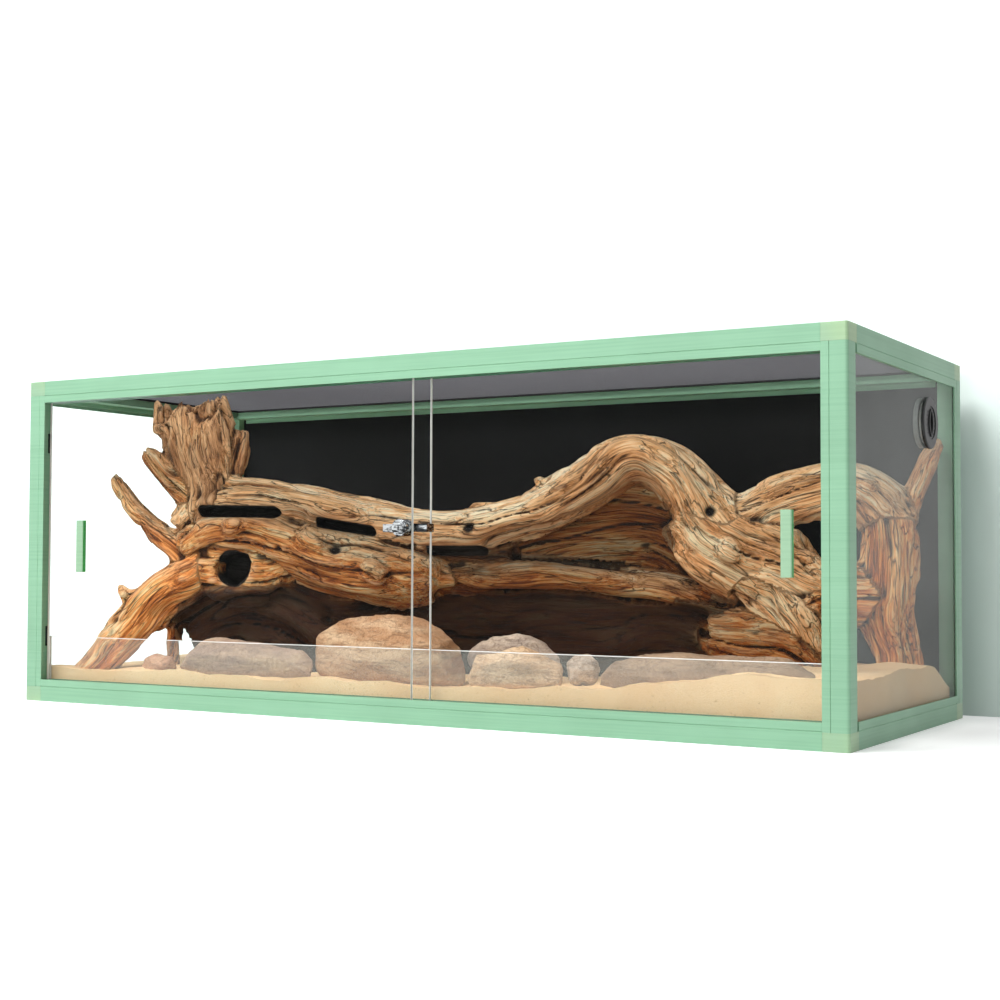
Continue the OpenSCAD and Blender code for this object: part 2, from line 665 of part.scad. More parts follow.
// Lock bar: a flat strip between the doors, folded round the right edge of the back door
module lock_bar() color("#d8dcdc") {
    back = door_in + glass_t + 2 * fit;
    web = left_door_end + 2 * fit;
    translate([0, -half_d, lock_z - bar_h / 2]) {
        box([right_door_start - bar_free, bar_q, 0], [web + bar_t, bar_q + bar_t, bar_h]);
        box([web, bar_q, 0], [web + bar_t, back + bar_t, bar_h]);
        box([web - hook_l, back, 0], [web + bar_t, back + bar_t, bar_h]);
    }
}
// Dark plastic spacer that keeps the strip off the back door
module lock_spacer() color("#26282a")
    box([right_door_start + spacer_in, -half_d + bar_q + bar_t, lock_z - bar_h / 2],
        [left_door_end, -half_d + door_in, lock_z + bar_h / 2]);

// Lock barrel: its front face stands ahead of the frame, and the strip runs through its slot
module on_barrel_axis(q) {
    translate([barrel_mid, -half_d + q, lock_z]) rotate([-90, 0, 0]) children();
}
module lock_barrel() color("#c9ced0") difference() {
    on_barrel_axis(barrel_start) difference() {
        union() {
            cylinder(h = barrel_l, d = barrel_dia - 2 * barrel_rim);
            translate([0, 0, rim_d]) cylinder(h = barrel_l - rim_d, d = barrel_dia);
        }
        translate([0, 0, -past]) cylinder(h = plug_l + past, d = plug_dia + 2 * plug_fit);
    }
    box([barrel_mid - barrel_dia, -half_d + bar_q - fit, lock_z - bar_h / 2 - fit],
        [barrel_mid + barrel_dia, -half_d + bar_q + bar_t + fit, lock_z + bar_h / 2 + fit]);
}
module lock_plug() color("#b8bcbe") on_barrel_axis(barrel_start - plug_proud) difference() {
    cylinder(h = plug_l + plug_proud - 2 * fit, d = plug_dia);
    translate([-key_w / 2, -key_h / 2, -past]) cube([key_w, key_h, key_d + past]);
}

// Cable port in the right pane, drawn from the inside of the case outwards round the X axis
module port(x) {
    translate([x, vent_y, vent_z]) rotate([0, 90, 0]) children();
}
module bore(h, d) {
    translate([0, 0, -past]) cylinder(h = h + 2 * past, d = d);
}
module vent_flange() color("#1a1a1a") port(pane_in - ring_t) difference() {
    union() {
        cylinder(h = port_l - flange_edge, d = vent_hole - 2 * fit);
        translate([0, 0, ring_t + glass_t]) cylinder(h = flange_t - flange_edge, d = vent_dia);
        translate([0, 0, port_l - flange_edge])
            cylinder(h = flange_edge, d1 = vent_dia, d2 = vent_dia - 3 * flange_edge);
    }
    bore(port_l, insert_dia - 2 * shoulder);
    translate([0, 0, shoulder + past]) bore(port_l, insert_dia + 2 * insert_fit);
}
module vent_nut() color("#c9ccca") port(pane_in - ring_t) difference() {
    cylinder(h = ring_t, d = vent_dia - 2);
    bore(ring_t, vent_hole);
}
// Turning insert with the eye-shaped slot, a raised rim round it and two rows of small air holes
module eye(w, h) {
    r = (w * w / 4 + h * h / 4) / w;
    intersection() {
        translate([0, r - w / 2]) circle(r);
        translate([0, w / 2 - r]) circle(r);
    }
}
module vent_insert() color("#141414") port(pane_in - ring_t + shoulder + fit) difference() {
    length = port_l - shoulder - flange_edge - fit;
    union() {
        cylinder(h = length, d = insert_dia);
        linear_extrude(length + eye_rise) eye(eye_w + 2 * eye_rim, eye_h + 2 * eye_rim);
    }
    translate([0, 0, -past]) linear_extrude(length + eye_rise + 2 * past) eye(eye_w, eye_h);
    for (side = [90, 270], a = [-50 : 20 : 50])
        rotate([0, 0, side + a]) translate([insert_dia / 2 - hole_in, 0, 0])
            bore(length + eye_rise, hole_dia, $fn = 16);
}

// Lift-out screen: a frame round an opening, and the net whose edge it grips
screen_open = [screen_l - 2 * screen_w, screen_d - 2 * screen_w];
module slab(border, z, t) {
    size = [screen_open.x + 2 * border, screen_open.y + 2 * border];
    translate([-size.x / 2, -size.y / 2, z]) cube([size.x, size.y, t]);
}
module screen_frame() color("#151515") difference() {
    slab(screen_w, ledge_z, screen_t);
    slab(0, ledge_z - past, screen_t + 2 * past);
    slab(net_grip, net_z - fit, net_t + 2 * fit);
}
module screen_net() color("#3a3c3e") difference() {
    step = [screen_open.x / net_columns, screen_open.y / net_rows];
    slab(net_grip - fit, net_z, net_t);
    for (i = [0 : net_columns - 1], j = [0 : net_rows - 1])
        translate([(i - net_columns / 2) * step.x, (j - net_rows / 2) * step.y, net_z - past])
            translate([strand_w / 2, strand_w / 2])
                cube([step.x - strand_w, step.y - strand_w, net_t + 2 * past]);
}

// Sand: a grid of heights whose walls go down to the height shelf, in to the opening of the floor frame,
// and down to the height bottom. The last rows draw in beside the rear posts.
module sand_block(shelf, bottom) {
    n = sand_columns;
    m = sand_rows;
    post_y = half_d - post_w - sand_gap;
    lip_y = half_d - post_w - lip_w;
    y_at = function (j)
        j == m ? sand_back : j == m - 1 ? post_y : sand_front + (lip_y - sand_front) * j / (m - 2);
    reach = function (j) j >= m - 1 ? half_l - post_d - sand_gap : sand_x;
    x_at = function (i, j) reach(j) * (2 * i / n - 1);
    tops = [for (j = [0 : m], i = [0 : n]) [x_at(i, j), y_at(j), sand_height(x_at(i, j), y_at(j))]];
    at = function (i, j) j * (n + 1) + i;
    rim = concat([for (i = [0 : n - 1]) at(i, 0)], [for (j = [0 : m - 1]) at(n, j)],
        [for (i = [n : -1 : 1]) at(i, m)], [for (j = [m : -1 : 1]) at(0, j)]);
    count = len(rim);
    inner_front = sand_front + past;
    squeeze_x = (half_l - rail_d - sand_gap) / sand_x;
    squeeze_y = (half_d - rail_d - sand_gap - inner_front) / (sand_back - sand_front);
    draw_in = function (p, z) [p.x * squeeze_x, inner_front + (p.y - sand_front) * squeeze_y, z];
    outer_ring = [for (k = rim) [tops[k].x, tops[k].y, shelf]];
    ring_1 = [for (k = rim) draw_in(tops[k], shelf)];
    ring_2 = [for (k = rim) draw_in(tops[k], bottom)];
    loop = function (r, k) r == 0 ? rim[k % count] : len(tops) + (r - 1) * count + k % count;
    top_faces = [for (j = [0 : m - 1], i = [0 : n - 1]) each
        [[at(i, j), at(i, j + 1), at(i + 1, j + 1)], [at(i, j), at(i + 1, j + 1), at(i + 1, j)]]];
    walls = [for (r = [0 : 2], k = [0 : count - 1]) each
        [[loop(r, k), loop(r, k + 1), loop(r + 1, k + 1)], [loop(r, k), loop(r + 1, k + 1), loop(r + 1, k)]]];
    middle = len(tops) + 3 * count;
    base = [for (k = [0 : count - 1]) [loop(3, k), loop(3, k + 1), middle]];
    polyhedron(concat(tops, outer_ring, ring_1, ring_2, [[0, 0, bottom]]), concat(top_faces, walls, base));
}
module sand_bed() color("#ecd0a2") sand_block(rail_h, floor_top);

// Limb: rings of points swept along a curve, each an oval with a few soft ridges
module limb(rows, up) {
    path = curve(rows, limb_steps);
    n = len(path);
    points = [for (i = [0 : n - 1])
        let (t = unit(middle(path[min(n - 1, i + 1)]) - middle(path[max(0, i - 1)])),
             side = unit(cross(t, up)), over = cross(side, t))
        for (k = [0 : limb_sides - 1])
            let (a = 360 * k / limb_sides, r = 1 + ridge_size * cos(ridges * a + ridge_turn * i))
            place(middle(path[i]) + side * (path[i][3] * r * cos(a)) + over * (path[i][4] * r * sin(a)))];
    faces = [for (i = [0 : n - 2], k = [0 : limb_sides - 1])
        let (a = i * limb_sides + k, b = i * limb_sides + (k + 1) % limb_sides) each
        [[a, b + limb_sides, a + limb_sides], [a, b, b + limb_sides]]];
    start = [for (k = [limb_sides - 1 : -1 : 0]) k];
    finish = [for (k = [0 : limb_sides - 1]) (n - 1) * limb_sides + k];
    polyhedron(points, concat(faces, [start, finish]));
}
module across_wood(p) {
    translate(place(p)) rotate([90, 0, wood_turn]) children();
}
module driftwood() color("#b98a58") difference() {
    union() {
        for (rows = lying_limbs) limb(rows, [0, 0, 1]);
        for (rows = standing_limbs) limb(rows, [0, -1, 0]);
        for (k = knots) hull() {
            translate(place(k[0])) sphere(k[1], $fn = 6);
            translate(place(k[0] + k[2])) sphere(k[1] * stub_taper, $fn = 6);
        }
    }
    for (s = slits) hull() for (p = [s[0], s[1]])
        across_wood(p) cylinder(h = slit_reach, r = s[2], center = true, $fn = 8);
    across_wood(knothole) cylinder(h = slit_reach, r = knothole_r, center = true, $fn = 14);
    sand_block(-below_floor, -2 * below_floor);
}

// Stone: a rounded lump whose radius swells and dips a little, cut off by the sand
module stone(centre, size, turn, shape) {
    points = [for (i = [0 : stone_rings], k = [0 : stone_sides - 1])
        let (b = -90 + 180 * i / stone_rings, a = 360 * k / stone_sides,
             swell = stone_swell * sin(2 * a + 77 * shape) * cos(b),
             dip = stone_dip * cos(3 * a + 31 * shape + 2 * b),
             r = (1 + swell + dip) / 2, flat = pow(cos(b), stone_square))
        [r * size.x * cos(a) * flat, r * size.y * sin(a) * flat, r * size.z * sin(b)]];
    faces = [for (i = [0 : stone_rings - 1], k = [0 : stone_sides - 1])
        let (a = i * stone_sides + k, b = i * stone_sides + (k + 1) % stone_sides)
        [a, a + stone_sides, b + stone_sides, b]];
    translate(centre) rotate([0, 0, turn]) hull() polyhedron(points, faces);
}
module front_stones() color("#b39a80") difference() {
    for (s = stones) stone(place(s[0]), place(s[1]), s[2], s[3]);
    sand_block(-below_floor, -2 * below_floor);
}

corner_front_left_low();
corner_front_right_low();
corner_rear_left_low();
corner_rear_right_low();
corner_front_left_top();
corner_front_right_top();
corner_rear_left_top();
corner_rear_right_top();
rail_front_low();
rail_rear_low();
rail_left_low();
rail_right_low();
rail_front_top();
rail_rear_top();
rail_left_top();
rail_right_top();
post_front_left();
post_front_right();
post_rear_left();
post_rear_right();
left_pane();
right_pane();
back_panel();
floor_panel();
glass_guard();
lower_track();
upper_track();
left_bumpers();
right_bumpers();
left_door();
left_handle();
left_handle_pad();
right_door();
right_handle();
right_handle_pad();
lock_bar();
lock_spacer();
lock_barrel();
lock_plug();
vent_flange();
vent_nut();
vent_insert();
screen_frame();
screen_net();
sand_bed();
driftwood();
front_stones();
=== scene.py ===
import bmesh
import bpy
import json
import math
import numpy as np
from mathutils import Matrix, Vector

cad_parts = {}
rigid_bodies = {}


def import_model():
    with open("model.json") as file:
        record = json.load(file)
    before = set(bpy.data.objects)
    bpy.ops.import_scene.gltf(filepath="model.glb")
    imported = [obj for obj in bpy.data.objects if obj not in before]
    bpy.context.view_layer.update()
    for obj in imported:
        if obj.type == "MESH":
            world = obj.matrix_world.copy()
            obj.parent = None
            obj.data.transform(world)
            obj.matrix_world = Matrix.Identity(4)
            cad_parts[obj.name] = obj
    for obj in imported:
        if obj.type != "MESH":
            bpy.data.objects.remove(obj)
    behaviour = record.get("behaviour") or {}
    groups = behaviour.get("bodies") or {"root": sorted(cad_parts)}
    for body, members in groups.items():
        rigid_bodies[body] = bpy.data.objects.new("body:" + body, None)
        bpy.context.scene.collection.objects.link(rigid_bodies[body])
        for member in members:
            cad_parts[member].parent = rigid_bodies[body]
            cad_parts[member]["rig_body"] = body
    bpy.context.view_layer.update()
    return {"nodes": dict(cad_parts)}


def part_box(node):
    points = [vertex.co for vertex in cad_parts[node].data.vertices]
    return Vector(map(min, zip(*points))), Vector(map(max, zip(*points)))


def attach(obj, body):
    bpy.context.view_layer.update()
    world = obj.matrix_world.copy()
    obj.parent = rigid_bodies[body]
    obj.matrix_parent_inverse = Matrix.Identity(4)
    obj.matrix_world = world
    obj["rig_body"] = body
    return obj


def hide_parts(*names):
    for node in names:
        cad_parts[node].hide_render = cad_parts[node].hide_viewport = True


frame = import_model()
nodes = frame["nodes"]
mm = 0.001
print("frame loaded:", len(nodes), "nodes")


# ---- camera, lamps and room
cameraPlan = {
    "place": (1.13466, -1.84010, 0.19572),
    "yaw": 30.611,
    "pitch": 2.247,
    "roll": 0.185,
    "lens": 57.638,
    "sensor": 36.0,
}
lampPlan = {
    "wide": {"place": (-0.4, -3.3, 0.9), "aim": (0.1, -0.1, 0.15), "size": (1.8, 1.0), "power": 6.0},
    "near": {"place": (0.42, -3.3, 1.15), "aim": (0.1, -0.1, 0.15), "size": (0.32, 0.32), "power": 14.0},
    "key": {"place": (-0.5, -1.5, 3.0), "aim": (0.0, 0.0, 0.15), "size": (1.6, 0.8), "power": 105.0},
}
roomPlan = {
    "ambient": 0.38,             # light of the room on the object
    "wallY": 0.26,               # the backdrop stands close behind the case and catches its shadow
    "wallColour": (0.80, 0.90, 0.87),
    "floorColour": (0.80, 0.83, 0.82),
    "wallGlow": 0.3,
    "fadeAcross": (0.0, 0.55),   # painted shadow: the wall's glow fades out low on the right
    "fadeUp": (0.5, 0.32),
    "floorGlow": 0.34,
    "reach": 7.0,
    "height": 5.0,
}


def placeCamera(plan):
    # level view along +Y, pitched up, turned to the left and rolled about its own axis
    yaw, pitch, roll = [math.radians(plan[key]) for key in ("yaw", "pitch", "roll")]
    turn = (Matrix.Rotation(yaw, 4, "Z") @ Matrix.Rotation(math.pi / 2 + pitch, 4, "X")
            @ Matrix.Rotation(roll, 4, "Z"))
    data = bpy.data.cameras.new("camera")
    data.sensor_width = plan["sensor"]
    data.lens = plan["lens"]
    camera = bpy.data.objects.new("camera", data)
    camera.matrix_world = Matrix.Translation(plan["place"]) @ turn
    bpy.context.scene.collection.objects.link(camera)
    bpy.context.scene.camera = camera


def placeLamp(name, plan):
    data = bpy.data.lights.new(name, "AREA")
    data.shape = "RECTANGLE"
    data.size, data.size_y = plan["size"]
    data.energy = plan["power"]
    lamp = bpy.data.objects.new(name, data)
    lamp.location = plan["place"]
    lamp.rotation_euler = (Vector(plan["aim"]) - lamp.location).to_track_quat("-Z", "Y").to_euler()
    bpy.context.scene.collection.objects.link(lamp)


placeCamera(cameraPlan)
for lampName, plan in lampPlan.items():
    placeLamp(lampName, plan)
bpy.context.scene.view_settings.view_transform = "Standard"
# the way in through both doors and the guard, and out again, crosses a dozen faces of glass
bpy.context.scene.cycles.transparent_max_bounces = 32
print("camera and lamps placed")


# ---- material tools
class Wire:
    # a node socket that takes part in Python arithmetic: a + b adds a Math node
    def __init__(self, tree, socket=None):
        self.tree = tree
        self.socket = socket

    def add(self, kind, settings, sockets, out=0):
        node = self.tree.nodes.new(kind)
        for key, value in settings.items():
            if key == "stops":
                ramp = node.color_ramp
                while len(ramp.elements) < len(value):
                    ramp.elements.new(0.5)
                for element, (place, colour) in zip(ramp.elements, value):
                    element.position = place
                    element.color = colour
            else:
                setattr(node, key, value)
        for key, value in sockets.items():
            if isinstance(value, Wire):
                self.tree.links.new(value.socket, node.inputs[key])
            else:
                node.inputs[key].default_value = value
        return Wire(self.tree, node.outputs[out])

    def maths(self, operation, *others):
        return self.add("ShaderNodeMath", {"operation": operation}, dict(enumerate((self, *others))))

    def __add__(self, other):
        return self.maths("ADD", other)

    def __sub__(self, other):
        return self.maths("SUBTRACT", other)

    def __rsub__(self, other):
        return self.add("ShaderNodeMath", {"operation": "SUBTRACT"}, {0: other, 1: self})

    def __mul__(self, other):
        return self.maths("MULTIPLY", other)

    __radd__ = __add__
    __rmul__ = __mul__


def tint(red, green, blue):
    # the linear colour of an 8-bit screen colour
    def straight(value):
        value /= 255
        return value / 12.92 if value <= 0.04045 else ((value + 0.055) / 1.055) ** 2.4
    return (straight(red), straight(green), straight(blue), 1.0)


def stretched(at, x, y, z):
    # coordinates scaled by a different factor along each axis
    return at.add("ShaderNodeVectorMath", {"operation": "MULTIPLY"}, {0: at, 1: (x, y, z)})


def noise(at, scale=1.0, detail=3.0, rough=0.55, bend=0.0):
    return at.add("ShaderNodeTexNoise", {},
                  {"Vector": at, "Scale": scale, "Detail": detail, "Roughness": rough, "Distortion": bend})


def between(value, low, high, first=0.0, last=1.0):
    # value from low..high to first..last, smooth and clamped
    return value.add("ShaderNodeMapRange", {"interpolation_type": "SMOOTHSTEP"},
                     {0: value, 1: low, 2: high, 3: first, 4: last})


def ridged(value, width):
    # 1 on the thin lines where a noise passes 0.5
    return between((value - 0.5).maths("ABSOLUTE"), 0.0, width, 1.0, 0.0)


def blend(mask, first, second, how="MIX"):
    return mask.add("ShaderNodeMix", {"data_type": "RGBA", "blend_type": how}, {0: mask, 6: first, 7: second}, 2)


def ramp(value, *stops):
    return value.add("ShaderNodeValToRGB", {"stops": stops}, {0: value})


def bump(height, distance, strength=1.0):
    return height.add("ShaderNodeBump", {}, {"Strength": strength, "Distance": distance, "Height": height})


def attribute(at, name):
    return at.add("ShaderNodeAttribute", {"attribute_name": name}, {}, "Vector")


def parts(vector):
    # the three numbers in a vector
    split = vector.add("ShaderNodeSeparateXYZ", {}, {0: vector})
    node = split.socket.node
    return [Wire(vector.tree, node.outputs[i]) for i in range(3)]


def makeMaterial(name, finish, vary=None):
    # finish is set on the shader's own sockets; vary gets the Object coordinates and returns links
    material = bpy.data.materials.new(name)
    material.use_nodes = True
    tree = material.node_tree
    shader = tree.nodes["Principled BSDF"]
    for key, value in finish.items():
        shader.inputs[key].default_value = value
    at = Wire(tree).add("ShaderNodeTexCoord", {}, {}, "Object")
    for key, wire in (vary(at) if vary else {}).items():
        tree.links.new(wire.socket, shader.inputs[key])
    return material


# ---- room: white to the eye, plain light on the object
def seenRays(tree):
    # 1 for rays that show the background to the eye, in a mirror or through glass
    camera, glossy, through = [Wire(tree).add("ShaderNodeLightPath", {}, {}, f"Is {kind} Ray")
                               for kind in ("Camera", "Glossy", "Transmission")]
    return (camera + glossy + through).maths("MINIMUM", 1.0)


def makeWorld(plan):
    world = bpy.data.worlds.new("room")
    world.use_nodes = True
    bpy.context.scene.world = world
    background = world.node_tree.nodes["Background"]
    background.inputs["Color"].default_value = (1, 1, 1, 1)
    strength = plan["ambient"] + (1 - plan["ambient"]) * seenRays(world.node_tree)
    world.node_tree.links.new(strength.socket, background.inputs["Strength"])


def makeStage(name, corners, colour, glow):
    mesh = bpy.data.meshes.new(name)
    mesh.from_pydata(corners, [], [(0, 1, 2, 3)])
    stage = bpy.data.objects.new(name, mesh)
    bpy.context.scene.collection.objects.link(stage)
    material = makeMaterial(name, {"Base Color": (*colour, 1.0), "Roughness": 0.9, "Specular IOR Level": 0.0,
                                   "Emission Color": (1, 1, 1, 1)})
    tree = material.node_tree
    shader = tree.nodes["Principled BSDF"]
    tree.links.new((seenRays(tree) * glow).socket, shader.inputs["Emission Strength"])
    mesh.materials.append(material)
    return stage, material


def openFromBehind(material):
    # the wall shows only to a camera in front of it
    tree = material.node_tree
    behind = Wire(tree).add("ShaderNodeNewGeometry", {}, {}, "Backfacing")
    clear = behind.add("ShaderNodeBsdfTransparent", {}, {})
    front = Wire(tree, tree.nodes["Principled BSDF"].outputs[0])
    both = behind.add("ShaderNodeMixShader", {}, {0: behind, 1: front, 2: clear})
    tree.links.new(both.socket, tree.nodes["Material Output"].inputs["Surface"])


def paintedWallShadow(material, across, up):
    # painted shadow: the glow drops to none towards the right and the floor, between two places along X and two
    # along Z, so that the wall is darker low beside the case
    tree = material.node_tree
    x, _, z = parts(Wire(tree).add("ShaderNodeTexCoord", {}, {}, "Object"))
    glow = blend(between(x, *across) * between(z, *up), (1, 1, 1, 1), (0, 0, 0, 1))
    tree.links.new(glow.socket, tree.nodes["Principled BSDF"].inputs["Emission Color"])


makeWorld(roomPlan)
far, high, wallY = roomPlan["reach"], roomPlan["height"], roomPlan["wallY"]
floorCorners = [(-far, -far, 0), (far, -far, 0), (far, far, 0), (-far, far, 0)]
makeStage("floor", floorCorners, roomPlan["floorColour"], roomPlan["floorGlow"])
wallCorners = [(-far, wallY, 0), (far, wallY, 0), (far, wallY, high), (-far, wallY, high)]
wall, wallMaterial = makeStage("wall", wallCorners, roomPlan["wallColour"], roomPlan["wallGlow"])
paintedWallShadow(wallMaterial, roomPlan["fadeAcross"], roomPlan["fadeUp"])
openFromBehind(wallMaterial)
wall.visible_diffuse = False
wall.visible_glossy = False
wall.visible_transmission = False
wall.visible_shadow = False
print("room built")


# ---- finishes of the frame
finishPlan = {
    "mint": tint(150, 196, 164),
    "mintPale": tint(160, 198, 164),
    "mintDeep": tint(76, 186, 102),
    "cap": tint(156, 193, 163),
    "capWarm": tint(174, 202, 158),
    "trackGreen": tint(80, 136, 108),
}


def plasticVary(colour, edge, grain=1.0):
    # moulded or extruded plastic: a slow drift of tone, faint draw lines and a fine satin grain
    def vary(at):
        drift = noise(at, 9.0, 2.0)
        fine = noise(at, 2600.0, 2.0)
        lines = noise(stretched(at, 6.0, 6.0, 420.0), 1.0, 3.0)
        shade = blend(between(drift, 0.3, 0.7), colour, edge)
        return {
            "Base Color": blend(between(lines, 0.35, 0.75, 0.0, 0.16), shade, edge, "MULTIPLY"),
            "Roughness": between(fine + drift * 0.5, 0.5, 1.0, 0.3, 0.44),
            "Normal": bump(fine * 0.5 + lines * 0.5, 0.00003 * grain),
        }
    return vary


def darker(colour, factor):
    return tuple(value * factor for value in colour[:3]) + (1.0,)


mint = makeMaterial("mintPlastic", {"IOR": 1.42, "Specular IOR Level": 0.3},
                    plasticVary(finishPlan["mint"], darker(finishPlan["mint"], 0.93)))
mintPale = makeMaterial("handlePlastic", {"IOR": 1.46, "Coat Weight": 0.2, "Coat Roughness": 0.15},
                        plasticVary(finishPlan["mintPale"], darker(finishPlan["mintPale"], 0.94)))
cap = makeMaterial("capPlastic", {"IOR": 1.46, "Subsurface Weight": 0.25, "Subsurface Radius": (0.004, 0.006, 0.004),
                                  "Subsurface Scale": 1.0},
                   plasticVary(finishPlan["cap"], finishPlan["capWarm"]))
mintDeep = makeMaterial("handleSides", {"IOR": 1.46},
                        plasticVary(finishPlan["mintDeep"], darker(finishPlan["mintDeep"], 0.9)))
trackGreen = makeMaterial("trackPlastic", {"IOR": 1.46},
                          plasticVary(finishPlan["trackGreen"], darker(finishPlan["trackGreen"], 0.85)))


def boardVary(at):
    # matte board with a fine orange-peel skin
    fine = noise(at, 700.0, 3.0)
    drift = noise(at, 5.0, 3.0)
    return {
        "Base Color": blend(between(drift, 0.3, 0.7), tint(13, 13, 13), tint(19, 19, 20)),
        "Roughness": between(fine, 0.3, 0.7, 0.5, 0.66),
        "Normal": bump(fine, 0.00001),
    }


def rubberVary(at):
    fine = noise(at, 1500.0, 2.0)
    return {
        "Base Color": blend(between(fine, 0.3, 0.7), tint(30, 38, 34), tint(44, 54, 49)),
        "Normal": bump(fine, 0.00005),
    }


def blackPlasticVary(at):
    fine = noise(at, 1800.0, 2.0)
    drift = noise(at, 60.0, 2.0)
    return {
        "Base Color": blend(between(drift, 0.35, 0.65), tint(20, 20, 21), tint(32, 33, 34)),
        "Roughness": between(fine, 0.3, 0.7, 0.34, 0.5),
        "Normal": bump(fine, 0.00004),
    }


def foamVary(at):
    cells = noise(at, 1200.0, 2.0)
    return {
        "Base Color": blend(between(cells, 0.35, 0.65), tint(214, 216, 208), tint(240, 240, 234)),
        "Normal": bump(cells, 0.0002),
    }


def chromeVary(at):
    # polished metal with fine turned lines; long stretched patches switch its colour between near-black and bright
    # and make it a little rougher
    lines = noise(at, 900.0, 2.0)
    patches = noise(stretched(at, 60.0, 200.0, 330.0), 1.0, 3.0)
    return {
        "Base Color": blend(between(patches, 0.42, 0.58), tint(52, 54, 56), tint(214, 218, 220)),
        "Roughness": between(patches, 0.35, 0.7, 0.12, 0.28),
        "Normal": bump(lines, 0.00001),
    }


def paleRingVary(at):
    fine = noise(at, 1400.0, 2.0)
    return {
        "Base Color": blend(between(fine, 0.3, 0.7), tint(112, 116, 114), tint(134, 138, 135)),
        "Normal": bump(fine, 0.00004),
    }


board = makeMaterial("blackBoard", {"Specular IOR Level": 0.14}, boardVary)
rubber = makeMaterial("darkRubber", {"Roughness": 0.8, "IOR": 1.4}, rubberVary)
blackPlastic = makeMaterial("blackPlastic", {"IOR": 1.46}, blackPlasticVary)
foam = makeMaterial("padFoam", {"Roughness": 0.9}, foamVary)
chrome = makeMaterial("lockChrome", {"Metallic": 1.0}, chromeVary)
paleRing = makeMaterial("ringPlastic", {"Roughness": 0.45}, paleRingVary)
print("frame finishes made")

glassPlan = {
    "doorHaze": 0.002,
    "guardHaze": 0.1,
    "leftHaze": 0.004,
    # the right pane's veil is mostly a painted reflection of the pale room at a grazing angle, over the faint veil
    # the other panes have
    "rightReflectionVeil": 0.16,
    "edgeHaze": 0.95,
}


def glassMaterial(name, haze, colour, rough):
    # thin glass: mostly see-through, with a faint veil, smears and a clear gloss
    def vary(at):
        patches = noise(at, 7.0, 4.0)
        specks = noise(at, 260.0, 2.0)
        veil = between(patches, 0.3, 0.7, haze * 0.85, haze * 1.15) + between(specks, 0.72, 0.8, 0.0, haze)
        return {
            "Base Color": blend(between(patches, 0.3, 0.7), colour, darker(colour, 0.9)),
            "Alpha": veil,
            "Roughness": between(patches, 0.3, 0.7, rough, rough * 2),
        }
    return makeMaterial(name, {"IOR": 1.5}, vary)


doorGlass = glassMaterial("doorGlass", glassPlan["doorHaze"], tint(225, 238, 234), 0.05)
guardGlass = glassMaterial("guardGlass", glassPlan["guardHaze"], tint(232, 234, 226), 0.12)
leftGlass = glassMaterial("leftGlass", glassPlan["leftHaze"], tint(225, 238, 234), 0.05)
# painted reflection: the grey veil on the right pane
rightGlass = glassMaterial("rightGlass", glassPlan["rightReflectionVeil"], tint(206, 210, 208), 0.1)
glassEdge = glassMaterial("groundEdge", glassPlan["edgeHaze"], tint(246, 246, 242), 0.3)


# ---- the frame, tracks, lock and vent: the CAD solids with softened edges
edgePlan = {"soft": 0.35 * mm, "steps": 2, "sharpAngle": math.radians(32), "chamfer": 0.8 * mm}


def addPiece(name, mesh, body, replaced, materials):
    piece = bpy.data.objects.new(name, mesh)
    bpy.context.scene.collection.objects.link(piece)
    for material in materials:
        mesh.materials.append(material)
    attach(piece, body)
    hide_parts(replaced)
    return piece


def mergedCopy(node, name):
    # the node's loose triangles joined into clean flat faces
    work = bmesh.new()
    work.from_mesh(nodes[node].data)
    bmesh.ops.remove_doubles(work, verts=work.verts, dist=0.002 * mm)
    bmesh.ops.dissolve_limit(work, angle_limit=math.radians(0.5), verts=work.verts, edges=work.edges)
    mesh = bpy.data.meshes.new(name)
    work.to_mesh(mesh)
    work.free()
    for layer in ("custom_normal", "UVMap"):
        if layer in mesh.attributes:
            mesh.attributes.remove(mesh.attributes[layer])
    mesh.materials.clear()
    return mesh


def soften(piece, width):
    mesh = piece.data
    mesh.shade_smooth()
    mesh.set_sharp_from_angle(angle=edgePlan["sharpAngle"])
    edge = piece.modifiers.new("softEdge", "BEVEL")
    edge.width = width
    edge.segments = edgePlan["steps"]
    edge.limit_method = "ANGLE"
    edge.angle_limit = edgePlan["sharpAngle"]
    edge.use_clamp_overlap = True
    edge.harden_normals = True


def dress(node, material, width=None):
    name = node + "_dressed"
    piece = addPiece(name, mergedCopy(node, name), nodes[node]["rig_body"], node, [material])
    soften(piece, width or edgePlan["soft"])
    return piece


def dressInTwo(node, material, other, axis):
    # the faces across the axis get the first material and the rest the other
    name = node + "_dressed"
    mesh = mergedCopy(node, name)
    piece = addPiece(name, mesh, nodes[node]["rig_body"], node, [material, other])
    normals = np.empty(len(mesh.polygons) * 3)
    mesh.polygons.foreach_get("normal", normals)
    rest = np.abs(normals.reshape(-1, 3)[:, axis]) < 0.7
    mesh.polygons.foreach_set("material_index", rest.astype(np.int32))
    return piece


def dressGlass(node, material, axis):
    # panes have ground edges and narrow ground chamfers
    piece = dressInTwo(node, material, glassEdge, axis)
    soften(piece, edgePlan["chamfer"])
    piece.modifiers["softEdge"].segments = 1
    piece.modifiers["softEdge"].material = 1


